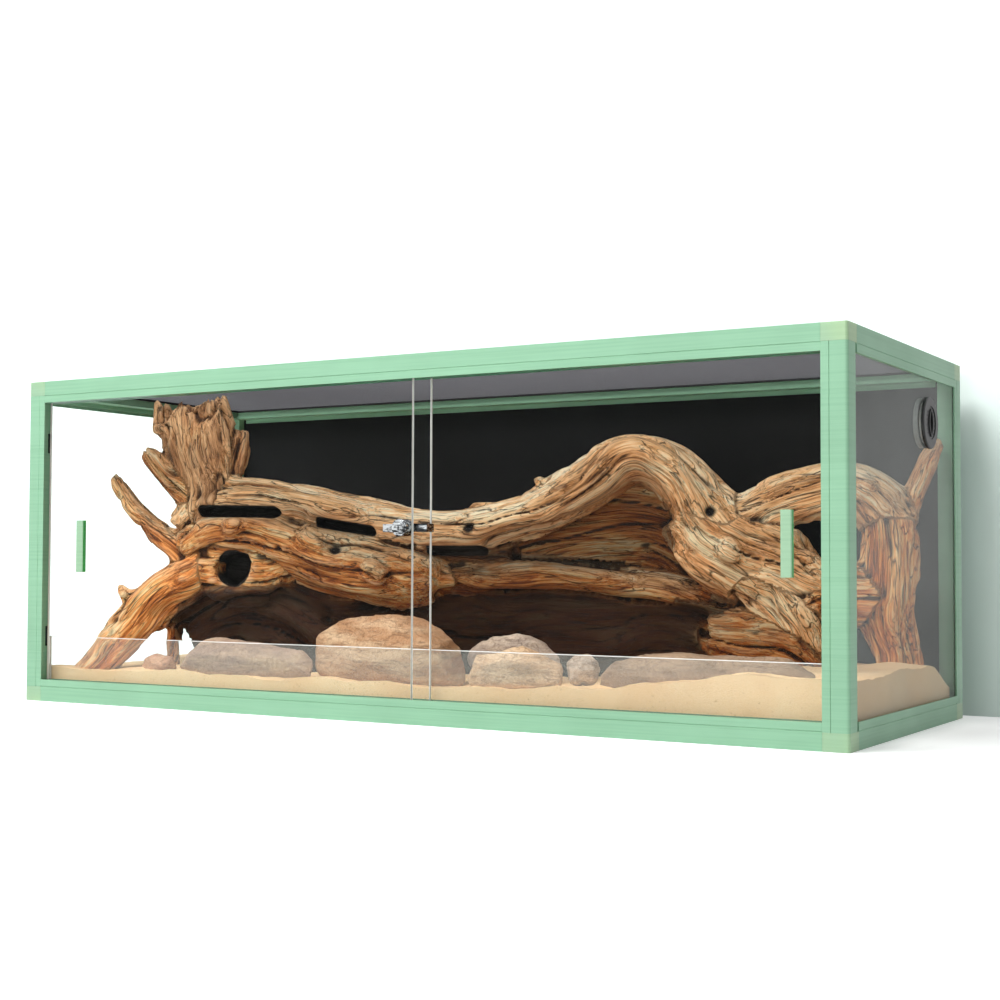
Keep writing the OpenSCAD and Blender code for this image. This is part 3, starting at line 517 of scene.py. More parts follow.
sides = ("front", "rear")
ends = ("left", "right")
for end in ends:
    for side in sides:
        dress(f"post_{side}_{end}", mint)
        for level in ("low", "top"):
            dress(f"corner_{side}_{end}_{level}", cap)
for level in ("low", "top"):
    for place in (*sides, *ends):
        dress(f"rail_{place}_{level}", mint)
for node in ("lower_track", "upper_track"):
    dress(node, trackGreen, 0.2 * mm)
for end in ends:
    dress(end + "_bumpers", rubber)
    soften(dressInTwo(end + "_handle", mintPale, mintDeep, 1), 0.5 * mm)
    dress(end + "_handle_pad", foam, 0.2 * mm)
for node in ("lock_bar", "lock_barrel", "lock_plug"):
    dress(node, chrome, 0.25 * mm)
dress("lock_spacer", blackPlastic, 0.2 * mm)
dress("vent_flange", blackPlastic, 0.3 * mm)
dress("vent_insert", blackPlastic, 0.25 * mm)
dress("vent_nut", paleRing, 0.3 * mm)
dress("screen_frame", blackPlastic)
dress("back_panel", board)
dress("floor_panel", board)
dressGlass("left_door", doorGlass, 1)
dressGlass("right_door", doorGlass, 1)
dressGlass("glass_guard", guardGlass, 1)
dressGlass("left_pane", leftGlass, 0)
dressGlass("right_pane", rightGlass, 0)
print("frame dressed")


# ---- numpy tools for grown and natural surfaces
def addMesh(name, points, faces):
    # points in millimetres
    mesh = bpy.data.meshes.new(name)
    mesh.from_pydata(points * mm, [], faces)
    return mesh


def lattice(points, seed):
    # smooth noise from -1 to 1: random values at whole-number places, blended by u*u*(3 - 2u)
    base = np.floor(points).astype(np.int64)
    part = points - base
    part = part * part * (3 - 2 * part)
    total = np.zeros(len(points))
    for corner in np.ndindex(2, 2, 2):
        key = base + corner
        mix = key[:, 0] * 73856093 ^ key[:, 1] * 19349663 ^ key[:, 2] * 83492791 ^ seed * 2654435761
        mix = ((mix ^ (mix >> 13)) * 1274126177) & 0xFFFFFFFF
        mix = (mix ^ (mix >> 16)) & 0xFFFF
        weight = np.prod(np.where(corner, part, 1 - part), axis=1)
        total += weight * (mix / 32767.5 - 1)
    return total


def layered(points, seed, octaves=3, fade=0.5):
    # lattice noise summed over octaves of double frequency
    total, size = np.zeros(len(points)), 1.0
    for octave in range(octaves):
        total += size * lattice(points * 2 ** octave, seed + octave)
        size *= fade
    return total


def ease(value):
    u = np.clip(value, 0, 1)
    return u * u * (3 - 2 * u)


def gridFaces(rows, columns, wrap=False):
    # quads between neighbours of a rows by columns grid of points
    i, j = np.meshgrid(np.arange(rows - 1), np.arange(columns if wrap else columns - 1), indexing="ij")
    here = i * columns + j
    right = i * columns + (j + 1) % columns
    return np.stack([here, right, right + columns, here + columns], -1).reshape(-1, 4)


def readPoints(mesh):
    points = np.empty(len(mesh.vertices) * 3)
    mesh.vertices.foreach_get("co", points)
    return points.reshape(-1, 3)


def readNormals(mesh):
    normals = np.empty(len(mesh.vertices) * 3)
    mesh.vertices.foreach_get("normal", normals)
    return normals.reshape(-1, 3)


def writePoints(mesh, points):
    mesh.vertices.foreach_set("co", np.ascontiguousarray(points, float).ravel())
    mesh.update()


def writeVectors(mesh, name, values):
    layer = mesh.attributes.new(name, "FLOAT_VECTOR", "POINT")
    layer.data.foreach_set("vector", np.ascontiguousarray(values, float).ravel())


# ---- sand
sandPlan = {
    "floorTop": 14.1, "depth": 32.0, "drift": 26.0,
    "sideX": 590.8, "narrowX": 574.7, "front": -194.7, "back": 216.0,
    "narrowFrom": 195.0, "narrowTo": 204.7,
    "columns": 460, "rows": 170,
    "pale": tint(255, 226, 180), "warm": tint(246, 204, 150), "dark": tint(176, 128, 84),
}


def sandHeight(x, y):
    # the level bed, a drift on the right that falls off to the back corner, and long low waves
    plan = sandPlan
    corner = 1 - 1.25 * ease((y - 90) / 130) * ease((x - 380) / 200)
    waves = (2.2 * np.sin(np.radians(x * 1.3 + y * 0.9)) + 1.4 * np.sin(np.radians(x * 3.1 - y * 2.3)))
    return plan["floorTop"] + plan["depth"] + plan["drift"] * ease((x - 180) / 320) * corner + waves


def buildSand(plan):
    # a grid whose height is sandHeight plus small dimples, with walls down to a flat base
    columns, rows = plan["columns"], plan["rows"]
    across = np.linspace(-1, 1, columns)
    y = np.linspace(plan["front"], plan["back"], rows)
    narrow = np.clip((y - plan["narrowFrom"]) / (plan["narrowTo"] - plan["narrowFrom"]), 0, 1)
    halfX = plan["sideX"] + (plan["narrowX"] - plan["sideX"]) * narrow
    x = across[None, :] * halfX[:, None]
    y = np.repeat(y[:, None], columns, 1)
    flat = np.stack([x.ravel(), y.ravel(), np.zeros(rows * columns)], 1)
    dimples = (layered(flat / 34, 11, 3) * 1.5 + layered(flat / 9, 17, 2) * 0.5).reshape(rows, columns)
    z = sandHeight(x, y) + dimples
    top = np.stack([x, y, z], -1).reshape(-1, 3)
    count = rows * columns
    index = np.arange(count).reshape(rows, columns)
    rim = np.concatenate([index[0, :-1], index[:-1, -1], index[-1, :0:-1], index[:0:-1, 0]])
    foot = top[rim]
    foot[:, 2] = plan["floorTop"] + 6
    j = np.arange(len(rim))
    following = (j + 1) % len(rim)
    walls = np.stack([rim, count + j, count + following, rim[following]], 1)
    faces = gridFaces(rows, columns).tolist() + walls.tolist() + [(count + j[::-1]).tolist()]
    mesh = addMesh("sand", np.concatenate([top, foot]), faces)
    mesh.shade_smooth()
    mesh.set_sharp_from_angle(angle=math.radians(60))
    return addPiece("sand", mesh, "root", "sand_bed", [sandMaterial])


def sandVary(at):
    grains = noise(at, 850.0, 2.0, 0.6)
    clumps = noise(at, 90.0, 3.0)
    drift = noise(at, 8.0, 3.0)
    specks = noise(at, 420.0, 1.0)
    base = blend(between(drift, 0.3, 0.7), sandPlan["pale"], sandPlan["warm"])
    base = blend(between(grains, 0.38, 0.66, 0.0, 0.5), base, sandPlan["warm"])
    return {
        "Base Color": blend(between(specks, 0.66, 0.74, 0.0, 0.55), base, sandPlan["dark"]),
        "Normal": bump(grains * 0.6 + clumps * 0.8, 0.0012, 0.8),
    }


sandMaterial = makeMaterial("sand", {"Roughness": 0.95, "Specular IOR Level": 0.2}, sandVary)
buildSand(sandPlan)
print("sand laid")


# ---- stones: middle, full size and turn of each, with its two colours
stonePlan = {
    "around": 96, "along": 48,
    "swell": 0.1, "dent": 0.07,
    "facets": 9, "cut": 0.9,       # planes that flatten a stone, at this share of its reach
    "chips": 1.9, "layers": 0.8,
    "stones": [
        ((-246, -168, 60), (236, 44, 62), 1, 1, tint(168, 142, 124), tint(208, 180, 150)),
        ((-36, -146, 76), (246, 88, 108), -3, 2, tint(180, 136, 98), tint(212, 180, 144)),
        ((128, -104, 74), (134, 40, 66), 4, 3, tint(170, 152, 138), tint(206, 186, 164)),
        ((168, -166, 64), (142, 48, 58), -2, 4, tint(202, 166, 128), tint(228, 198, 162)),
        ((250, -152, 70), (40, 34, 38), 10, 5, tint(176, 158, 142), tint(212, 190, 168)),
        ((408, -150, 66), (286, 66, 52), 1, 6, tint(146, 120, 96), tint(178, 150, 122)),
        ((-412, -158, 50), (56, 34, 36), 14, 8, tint(186, 138, 108), tint(222, 180, 146)),
    ],
}


def stoneSurface(middle, size, turn, shape):
    # a squarish lump: radius 1 + two slow swells on a ball's angles, cut by a few planes short of its
    # reach, then roughened by noise and faint layers
    plan = stonePlan
    b = np.linspace(-90, 90, plan["along"])[1:-1, None]
    a = np.linspace(0, 360, plan["around"], endpoint=False)[None, :]
    b, a = np.broadcast_arrays(b, a)
    cosB = np.cos(np.radians(b))
    r = (1 + plan["swell"] * np.sin(np.radians(2 * a + 77 * shape)) * cosB
         + plan["dent"] * np.cos(np.radians(3 * a + 31 * shape + 2 * b)))
    flat = cosB ** 0.8
    x = r * size[0] / 2 * np.cos(np.radians(a)) * flat
    y = r * size[1] / 2 * np.sin(np.radians(a)) * flat
    z = r * size[2] / 2 * np.sin(np.radians(b))
    points = np.stack([x, y, z], -1).reshape(-1, 3)
    poles = np.array([[0, 0, -size[2] / 2], [0, 0, size[2] / 2]])
    points = np.concatenate([points, poles])
    outward = points / np.array(size) ** 2
    outward /= np.linalg.norm(outward, axis=1)[:, None]
    for number in range(plan["facets"]):
        turned, lift = math.radians(137.5 * number + 41 * shape), math.radians(-10 + 11 * number)
        facet = np.array([math.cos(turned) * math.cos(lift), math.sin(turned) * math.cos(lift), math.sin(lift)])
        reach = np.linalg.norm(facet * size) / 2
        points = points - facet * np.maximum(points @ facet - reach * plan["cut"], 0)[:, None]
    chips = layered(points / 26, 30 + shape, 4, 0.55)
    layers = lattice(points * (0.02, 0.02, 0.22) + 5 * shape, 50 + shape)
    points = points + outward * (chips * plan["chips"] + layers * plan["layers"])[:, None]
    c, s = math.cos(math.radians(turn)), math.sin(math.radians(turn))
    points = points @ np.array([[c, s, 0], [-s, c, 0], [0, 0, 1]]) + middle
    rows = plan["along"] - 2
    ring = plan["around"]
    faces = gridFaces(rows, ring, wrap=True)
    j = np.arange(ring)
    under = np.stack([(j + 1) % ring, j, np.full(ring, rows * ring)], 1)
    over = np.stack([(rows - 1) * ring + j, (rows - 1) * ring + (j + 1) % ring, np.full(ring, rows * ring + 1)], 1)
    return points, faces, np.concatenate([under, over])


def buildStones(plan):
    points, quads, triangles, dull, bright, start = [], [], [], [], [], 0
    for middle, size, turn, shape, first, second in plan["stones"]:
        lump, four, three = stoneSurface(middle, size, turn, shape)
        points.append(lump)
        quads.append(four + start)
        triangles.append(three + start)
        dull.append(np.tile(first[:3], (len(lump), 1)))
        bright.append(np.tile(second[:3], (len(lump), 1)))
        start += len(lump)
    faces = np.concatenate(quads).tolist() + np.concatenate(triangles).tolist()
    mesh = addMesh("stones", np.concatenate(points), faces)
    mesh.shade_smooth()
    writeVectors(mesh, "dull", np.concatenate(dull))
    writeVectors(mesh, "bright", np.concatenate(bright))
    return addPiece("stones", mesh, "root", "front_stones", [stoneMaterial])


def stoneVary(at):
    broad = noise(stretched(at, 14.0, 14.0, 50.0), 1.0, 4.0, 0.6, 0.4)
    fine = noise(at, 320.0, 4.0, 0.65)
    cracks = noise(stretched(at, 26.0, 26.0, 90.0), 1.0, 3.0, 0.6, 1.2)
    line = ridged(cracks, 0.022)
    base = blend(between(broad, 0.36, 0.64), attribute(at, "dull"), attribute(at, "bright"))
    base = blend(between(fine, 0.35, 0.7, 0.0, 0.35), base, tint(150, 124, 104), "MULTIPLY")
    specks = noise(at, 700.0, 1.0)
    base = blend(between(specks, 0.64, 0.72, 0.0, 0.4), base, tint(120, 92, 70))
    return {
        "Base Color": blend(line * 0.4, base, tint(110, 84, 64)),
        "Roughness": between(fine, 0.3, 0.7, 0.7, 0.95),
        "Normal": bump(fine * 0.6 + broad * 0.8 - line * 0.5, 0.0016, 0.9),
    }


stoneMaterial = makeMaterial("sandstone", {"Specular IOR Level": 0.3}, stoneVary)
buildStones(stonePlan)
print("stones set")


# ---- driftwood: limbs as rows of x, y, z, half width and half height
lyingLimbs = [
    [[-548, -168, 24, 20, 22], [-512, -158, 58, 24, 28], [-464, -146, 112, 27, 33],
     [-415, -133, 154, 29, 36], [-366, -120, 184, 28, 36], [-330, -112, 206, 20, 20]],
    [[-385, -124, 215, 26, 24], [-345, -115, 236, 34, 30], [-300, -104, 238, 37, 32],
     [-240, -88, 222, 40, 40], [-180, -72, 202, 44, 48], [-120, -56, 188, 46, 50], [-70, -44, 177, 44, 43],
     [-30, -33, 171, 30, 26]],
    [[-402, -128, 246, 18, 20], [-362, -117, 282, 28, 22], [-300, -102, 289, 36, 23],
     [-225, -83, 279, 38, 23], [-150, -64, 262, 38, 22], [-80, -46, 246, 40, 23], [0, -26, 240, 40, 25],
     [60, -10, 250, 40, 27], [112, 2, 266, 40, 31], [160, 15, 294, 44, 35], [222, 32, 333, 50, 30],
     [268, 45, 322, 50, 32], [302, 54, 284, 48, 38], [344, 64, 228, 46, 44], [392, 77, 178, 43, 44],
     [436, 88, 128, 40, 38], [462, 95, 80, 36, 32], [470, 98, 34, 34, 28]],
    [[-374, -122, 192, 16, 22], [-346, -116, 187, 25, 43], [-311, -107, 185, 28, 48],
     [-274, -97, 184, 26, 45], [-244, -90, 188, 18, 28]],
    [[-404, -103, 100, 10, 46], [-345, -94, 136, 16, 88], [-290, -82, 140, 24, 90],
     [-200, -52, 104, 29, 82], [-100, -16, 104, 27, 86], [0, 20, 110, 24, 90], [100, 46, 114, 24, 92],
     [200, 72, 114, 24, 90], [300, 95, 112, 24, 84], [390, 112, 104, 24, 74], [455, 120, 92, 20, 58]],
    [[-40, 2, 196, 18, 28], [50, 30, 222, 20, 48], [140, 56, 246, 22, 62], [220, 76, 252, 22, 72],
     [290, 92, 228, 22, 64], [350, 104, 190, 20, 46]],
    [[-50, -34, 174, 20, 18], [20, -6, 174, 24, 20], [100, 20, 178, 26, 22], [180, 44, 170, 26, 20],
     [260, 64, 158, 24, 18], [330, 80, 146, 21, 16]],
    [[285, 50, 262, 30, 34], [322, 60, 232, 40, 60], [366, 71, 208, 42, 60], [412, 83, 186, 40, 56],
     [452, 93, 168, 36, 38], [500, 104, 154, 28, 32]],
    [[318, 74, 104, 24, 40], [370, 74, 98, 34, 44], [424, 84, 84, 36, 44], [468, 94, 62, 32, 32]],
    [[330, 62, 236, 32, 28], [385, 76, 262, 32, 30], [440, 90, 282, 32, 34], [495, 104, 286, 34, 38],
     [540, 112, 258, 34, 34]],
    [[425, 88, 150, 34, 44], [485, 102, 156, 34, 42], [538, 112, 158, 32, 34]],
    [[-378, -124, 286, 20, 20], [-414, -133, 312, 17, 17], [-440, -140, 338, 15, 15],
     [-457, -144, 354, 11, 11]],
    [[-388, -126, 205, 22, 22], [-436, -139, 238, 17, 17], [-470, -147, 270, 14, 14],
     [-496, -154, 304, 12, 12], [-505, -156, 317, 9, 9]],
    [[-392, -118, 170, 13, 13], [-420, -116, 108, 10, 10], [-426, -110, 34, 10, 10]],
    [[150, 8, 296, 16, 16], [122, 0, 300, 13, 11], [101, -6, 308, 6, 5]],
    [[62, -10, 262, 12, 10], [34, -18, 268, 8, 6], [14, -24, 272, 3, 3]],
    [[-372, -106, 262, 12, 24], [-300, -87, 266, 14, 26], [-225, -67, 262, 14, 26],
     [-150, -48, 246, 14, 26], [-80, -30, 228, 14, 24], [0, -8, 214, 14, 22], [60, 8, 210, 12, 18]],
]
standingLimbs = [
    [[-362, -114, 250, 34, 18], [-358, -116, 304, 54, 24], [-366, -122, 350, 61, 29],
     [-376, -125, 392, 57, 28], [-382, -126, 410, 52, 23]],
    [[-420, -134, 380, 20, 18], [-427, -136, 410, 15, 12], [-431, -137, 430, 9, 7]],
    [[-398, -130, 385, 15, 14], [-400, -131, 414, 10, 9], [-401, -131, 430, 5, 5]],
    [[-318, -108, 330, 17, 16], [-312, -106, 358, 14, 12], [-309, -105, 380, 8, 8]],
    [[548, 118, 30, 25, 24], [547, 120, 84, 29, 27], [538, 113, 132, 35, 31], [541, 112, 196, 38, 34],
     [541, 110, 246, 33, 30], [537, 107, 270, 20, 20], [532, 104, 292, 7, 7]],
    [[548, 110, 222, 20, 20], [558, 128, 268, 15, 15], [568, 160, 310, 13, 13], [576, 188, 342, 11, 11],
     [579, 199, 356, 7, 7]],
]
limbTraits = {
    # how much painted shade darkens each limb (deep, which also deepens its flutes), and how grey or pale the wood
    # is, by limb number
    "deep": {1: 0.24, 3: 0.12, 4: 1.0, 5: 0.7, 6: 0.45, 8: 0.45, 13: 0.2, 16: 1.0},
    "pale": {2: 0.55, 7: 0.5, 9: 0.5},
    "grey": {11: 0.3, 12: 0.3, 17: 0.6, 18: 0.6, 19: 0.6, 20: 0.6},
}
# knots and broken stubs: middle, radius and how far the stub points
knots = [
    ((-300, -136, 240), 15, (12, -8, 8)), ((-190, -108, 226), 18, (20, -6, -8)),
    ((-96, -92, 184), 20, (18, -6, -12)), ((-470, -164, 150), 10, (-10, -6, 16)),
    ((-448, -150, 262), 6, (-10, -2, 10)), ((190, -8, 336), 12, (16, -6, 8)),
    ((360, 26, 214), 16, (16, -8, -14)), ((450, 56, 140), 18, (10, -6, -22)),
    ((516, 80, 286), 14, (14, -6, 12)), ((566, 126, 180), 12, (4, 6, 16)),
]
# slits and the round knothole run straight into the wood: two ends, a radius and the length of the cut
slits = [
    ((-348, -151, 266), (-242, -127, 264), 8, 90), ((-178, -111, 250), (-102, -93, 238), 7, 90),
    ((-30, -69, 212), (40, -53, 212), 6, 90), ((-307.5, -121, 187), (-306.5, -121, 187), 25, 62),
]
woodPlan = {
    "sides": 28, "steps": 7,
    "voxel": 3.6 * mm,
    "turn": 14.5,
    "lowest": 20.0,
}
# height of each kind of relief in millimetres
reliefPlan = {
    "flutes": 4.4, "deepFlutes": 3.4, "grooves": 1.8, "lumps": 2.0,
    "wideCreases": 6.5, "thinCreases": 2.8, "wander": 9.0,
    "lips": 3.5,
    "splinters": 17.0, "highest": 8.0, "stumpLow": 372.0, "stumpRight": -290.0,
}


def smoothRows(rows, steps):
    # Catmull-Rom: half of 2b + (c - a)t + (2a - 5b + 4c - d)t^2 + (3b - a - 3c + d)t^3 between b and c
    rows = np.array(rows, float)
    padded = np.concatenate([rows[:1], rows, rows[-1:]])
    i = np.repeat(np.arange(len(rows) - 1), steps)
    t = np.tile(np.arange(steps) / steps, len(rows) - 1)[:, None]
    a, b, c, d = padded[i], padded[i + 1], padded[i + 2], padded[i + 3]
    path = 0.5 * (2 * b + (c - a) * t + (2 * a - 5 * b + 4 * c - d) * t ** 2 + (3 * b - a - 3 * c + d) * t ** 3)
    return np.concatenate([path, rows[-1:]])


def unit(vectors):
    return vectors / np.linalg.norm(vectors, axis=-1, keepdims=True)


def limbAxes(path, up):
    # direction of the limb at each point, and the two directions across it
    ahead = np.concatenate([path[1:], path[-1:]])[:, :3] - np.concatenate([path[:1], path[:-1]])[:, :3]
    along = unit(ahead)
    side = unit(np.cross(along, up))
    return along, side, np.cross(side, along)


def limbTube(path, side, over, ripple):
    # ovals along a path: middle + side * halfWidth * r * cos a + over * halfHeight * r * sin a
    sides = woodPlan["sides"]
    a = np.linspace(0, 2 * np.pi, sides, endpoint=False)[None, :]
    i = np.arange(len(path))[:, None] * 2 / woodPlan["steps"]
    r = 1 + ripple * np.cos(3 * a + np.radians(47) * i) + ripple * 0.5 * np.cos(7 * a + 1.9 - i)
    points = (path[:, None, :3] + side[:, None] * (path[:, 3:4] * r * np.cos(a))[..., None]
              + over[:, None] * (path[:, 4:5] * r * np.sin(a))[..., None])
    rows = len(path)
    quads = gridFaces(rows, sides, wrap=True)[:, ::-1]
    j = np.arange(sides)
    ends = np.concatenate([path[:1, :3], path[-1:, :3]])
    first = np.stack([j, (j + 1) % sides, np.full(sides, rows * sides)], 1)
    last = np.stack([(rows - 1) * sides + (j + 1) % sides, (rows - 1) * sides + j,
                     np.full(sides, rows * sides + 1)], 1)
    return np.concatenate([points.reshape(-1, 3), ends]), quads, np.concatenate([first, last])


def stubRows(middle, radius, reach):
    # a knot as a short limb that swells and closes again
    middle, reach = np.array(middle, float), np.array(reach, float)
    places = [(-0.9, 0.35), (-0.45, 0.85), (0.0, 1.0), (0.7, 0.8), (1.3, 0.5), (1.6, 0.2)]
    ahead = reach / np.linalg.norm(reach) * radius
    return [[*(middle + ahead * t), radius * k, radius * k] for t, k in places]


def slitPrism(start, end, radius, length, turn):
    # the outline of a slot, two half circles and the lines between, pushed straight through the wood
    c, s = math.cos(math.radians(turn)), math.sin(math.radians(turn))
    across, through = np.array([c, s, 0.0]), np.array([s, -c, 0.0])
    a = np.linspace(0, 2 * np.pi, 32, endpoint=False)
    start, end = np.array(start, float), np.array(end, float)
    run = end - start
    lean = math.atan2(run[2], run @ across)
    onEnd = np.cos(a - lean) > 0
    wobble = radius * (1 + 0.12 * np.sin(2 * a + 0.7) + 0.08 * np.sin(3 * a))
    outline = (np.where(onEnd[:, None], end, start) + across * (wobble * np.cos(a))[:, None]
               + np.array([0, 0, 1.0]) * (wobble * np.sin(a))[:, None])
    points = np.concatenate([outline - through * length / 2, outline + through * length / 2])
    j = np.arange(32)
    quads = np.stack([j, (j + 1) % 32, (j + 1) % 32 + 32, j + 32], 1).tolist()
    return points, quads + [j[::-1].tolist(), (j + 32).tolist()]


def looseObject(name, points, faces):
    item = bpy.data.objects.new(name, addMesh(name, points, faces))
    bpy.context.scene.collection.objects.link(item)
    return item


def bakeModifiers(item):
    # the object's shape with its modifiers, as a mesh of its own
    graph = bpy.context.evaluated_depsgraph_get()
    mesh = bpy.data.meshes.new_from_object(item.evaluated_get(graph))
    item.modifiers.clear()
    item.data = mesh
    return mesh


def remesh(item, voxel):
    step = item.modifiers.new("remesh", "REMESH")
    step.mode = "VOXEL"
    step.voxel_size = voxel
    step.use_smooth_shade = True
    return bakeModifiers(item)


def growWood():
    # every limb is a tube; a voxel remesh grows them together, and the slits are cut out between two remeshes
    steps = woodPlan["steps"]
    limbs = [(rows, (0, 0, 1)) for rows in lyingLimbs] + [(rows, (0, -1, 0)) for rows in standingLimbs]
    trunks = len(limbs)            # the grain runs on over the knots
    limbs += [(stubRows(*knot), (0, 0, 1)) for knot in knots]
    points, faces, start, samples = [], [], 0, []
    for number, (rows, up) in enumerate(limbs):
        path = smoothRows(rows, steps)
        along, side, over = limbAxes(path, np.array(up, float))
        tube, quads, triangles = limbTube(path, side, over, 0.07)
        points.append(tube)
        faces += (quads + start).tolist() + (triangles + start).tolist()
        start += len(tube)
        length = np.concatenate([[0], np.cumsum(np.linalg.norm(np.diff(path[:, :3], axis=0), axis=1))])
        if number < trunks:
            samples.append(np.column_stack([path, length, np.full(len(path), number), along, side, over]))
    item = looseObject("wood", np.concatenate(points), faces)
    remesh(item, woodPlan["voxel"])
    for number, slit in enumerate(slits):
        cutter = looseObject(f"cutter{number}", *slitPrism(*slit, woodPlan["turn"]))
        cut = item.modifiers.new("cut", "BOOLEAN")
        cut.operation = "DIFFERENCE"
        cut.solver = "FAST"
        cut.object = cutter
        bakeModifiers(item)
        bpy.data.objects.remove(cutter)
    remesh(item, woodPlan["voxel"])
    return item, np.concatenate(samples)


def grainPlaces(points, samples):
    # for each point the nearest limb, and its place along and across that limb in millimetres
    best = np.empty(len(points), int)
    middle, size = samples[:, :3], (samples[:, 3] + samples[:, 4]) / 2 + 4
    for first in range(0, len(points), 4000):
        some = points[first:first + 4000]
        square = ((some[:, None] - middle[None]) ** 2).sum(-1)
        best[first:first + 4000] = np.argmin(square / size ** 2, axis=1)
    near = samples[best]
    offset = points - near[:, :3]
    along = near[:, 5] + (offset * near[:, 7:10]).sum(1)
    places = np.column_stack([along, (offset * near[:, 10:13]).sum(1), (offset * near[:, 13:16]).sum(1)])
    return places, near[:, 6]


def relax(mesh, values, rounds):
    # each value moves half way to the mean of its neighbours
    edges = np.empty(len(mesh.edges) * 2, int)
    mesh.edges.foreach_get("vertices", edges)
    first, second = edges.reshape(-1, 2).T
    count = np.bincount(first, minlength=len(values)) + np.bincount(second, minlength=len(values))
    for _ in range(rounds):
        total = np.zeros_like(values)
        for column in range(values.shape[1]):
            total[:, column] = (np.bincount(first, values[second, column], len(values))
                                + np.bincount(second, values[first, column], len(values)))
        values = 0.5 * values + 0.5 * total / np.maximum(count, 1)[:, None]
    return values


# pits and hollows: middle, radius and depth; each is sunk into the wood and darkened with painted shade
pits = [
    ((86, -60, 286), 9, 12), ((250, -2, 226), 16, 14), ((30, -56, 240), 8, 8), ((-150, -104, 214), 9, 9),
    ((-232, -122, 214), 7, 7), ((340, 22, 262), 8, 8), ((-386, -150, 330), 6, 6),
]


def traitOf(limb, table):
    # a number for each point, looked up by the number of its limb
    values = np.zeros(int(limb.max()) + 1)
    for number, value in table.items():
        values[number] = value
    return values[limb.astype(int)]


def creases(places, seed, width):
    # 1 on thin lines where layered noise crosses zero, down to 0 at the given width
    return 1 - ease(np.abs(layered(places, seed, 2)) / width)


def slitGap(points, start, end, radius, length, turn):
    # how far points are from a slit's wall, seen along the cut; far away beyond the cut's length
    c, s = math.cos(math.radians(turn)), math.sin(math.radians(turn))
    flat = points @ np.array([[c, 0], [s, 0], [0, 1.0]])
    first, last = [np.array(p, float) @ np.array([[c, 0], [s, 0], [0, 1.0]]) for p in (start, end)]
    run = last - first
    share = np.clip((flat - first) @ run / (run @ run), 0, 1)
    apart = np.linalg.norm(flat - first - share[:, None] * run, axis=1)
    deep = np.abs((points - start) @ np.array([s, -c, 0.0])) < length / 2
    return np.where(deep, apart - radius, 1000.0)


def waveAlong(points, places, limb):
    # grain coordinates: each limb has its own stretch of the noise, and the grain wanders a little
    plan = reliefPlan
    shifted = places + np.stack([limb * 311, limb * 97, limb * 53], 1)
    return shifted + layered(points * 0.012, 41, 2)[:, None] * (0, plan["wander"], plan["wander"])


def woodRelief(points, grain, deep):
    # how far each point moves out: long flutes, grooves and lumps, less the wide and the thin creases
    plan = reliefPlan
    flutes = layered(grain * (0.0055, 0.034, 0.034), 61, 2)
    grooves = layered(grain * (0.01, 0.1, 0.1), 71, 2)
    lumps = layered(points * 0.03, 81, 2)
    wide = creases(grain * (0.0035, 0.03, 0.03), 91, 0.2)
    thin = creases(grain * (0.006, 0.055, 0.055), 95, 0.24)
    return (flutes * (plan["flutes"] + plan["deepFlutes"] * deep) + grooves * plan["grooves"]
            + lumps * plan["lumps"] - wide * plan["wideCreases"] - thin * plan["thinCreases"])


def splinterStump(points):
    # the top of the stump is broken: noise with long cells in Z lifts and drops its points
    plan = reliefPlan
    share = ease((points[:, 2] - plan["stumpLow"]) / 45) * ease((plan["stumpRight"] - points[:, 0]) / 20)
    jags = layered(points * (0.075, 0.075, 0.012), 99, 3) * plan["splinters"] - 2
    return share * np.minimum(jags, plan["highest"])


def buildWood():
    item, samples = growWood()
    mesh = item.data
    points = relax(mesh, readPoints(mesh) / mm, 7)
    places, limb = grainPlaces(points, samples)
    writePoints(mesh, points * mm)
    normals = readNormals(mesh)
    up = normals[:, 2].copy()
    grain = waveAlong(points, places, limb)
    deep, grey, pale = [traitOf(limb, limbTraits[trait]) for trait in ("deep", "grey", "pale")]
    depth = woodRelief(points, grain, deep)
    # dark: painted shade in the pits and just inside the slits
    dark = np.zeros(len(points))
    for middle, radius, sunk in pits:
        fall = ease(1 - np.linalg.norm(points - middle, axis=1) / (radius * 1.7))
        depth -= fall * sunk
        dark = np.maximum(dark, fall)
    for slit in slits:
        gap = slitGap(points, *slit, woodPlan["turn"])
        depth = depth * ease(gap / 9) + reliefPlan["lips"] * np.exp(-((gap - 8) / 6) ** 2)
        dark = np.maximum(dark, 1 - ease(gap / 2))
    shaped = points + normals * depth[:, None]
    shaped[:, 2] += splinterStump(points)
    shaped[:, 2] = np.maximum(shaped[:, 2], woodPlan["lowest"])
    writePoints(mesh, shaped * mm)
    # hollow: how far each point lies below its smoothed neighbours, used for painted shade in recesses
    hollow = ((relax(mesh, shaped, 6) - shaped) * readNormals(mesh)).sum(1)
    writeVectors(mesh, "grain", grain * mm)
    writeVectors(mesh, "look", relax(mesh, np.column_stack([hollow, grey, dark]), 1))
    writeVectors(mesh, "place", relax(mesh, np.column_stack([up, deep, pale]), 8))
    mesh.shade_smooth()
    mesh.materials.append(woodMaterial)
    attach(item, "root")
    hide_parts("driftwood")
    print("driftwood:", len(mesh.polygons), "faces")


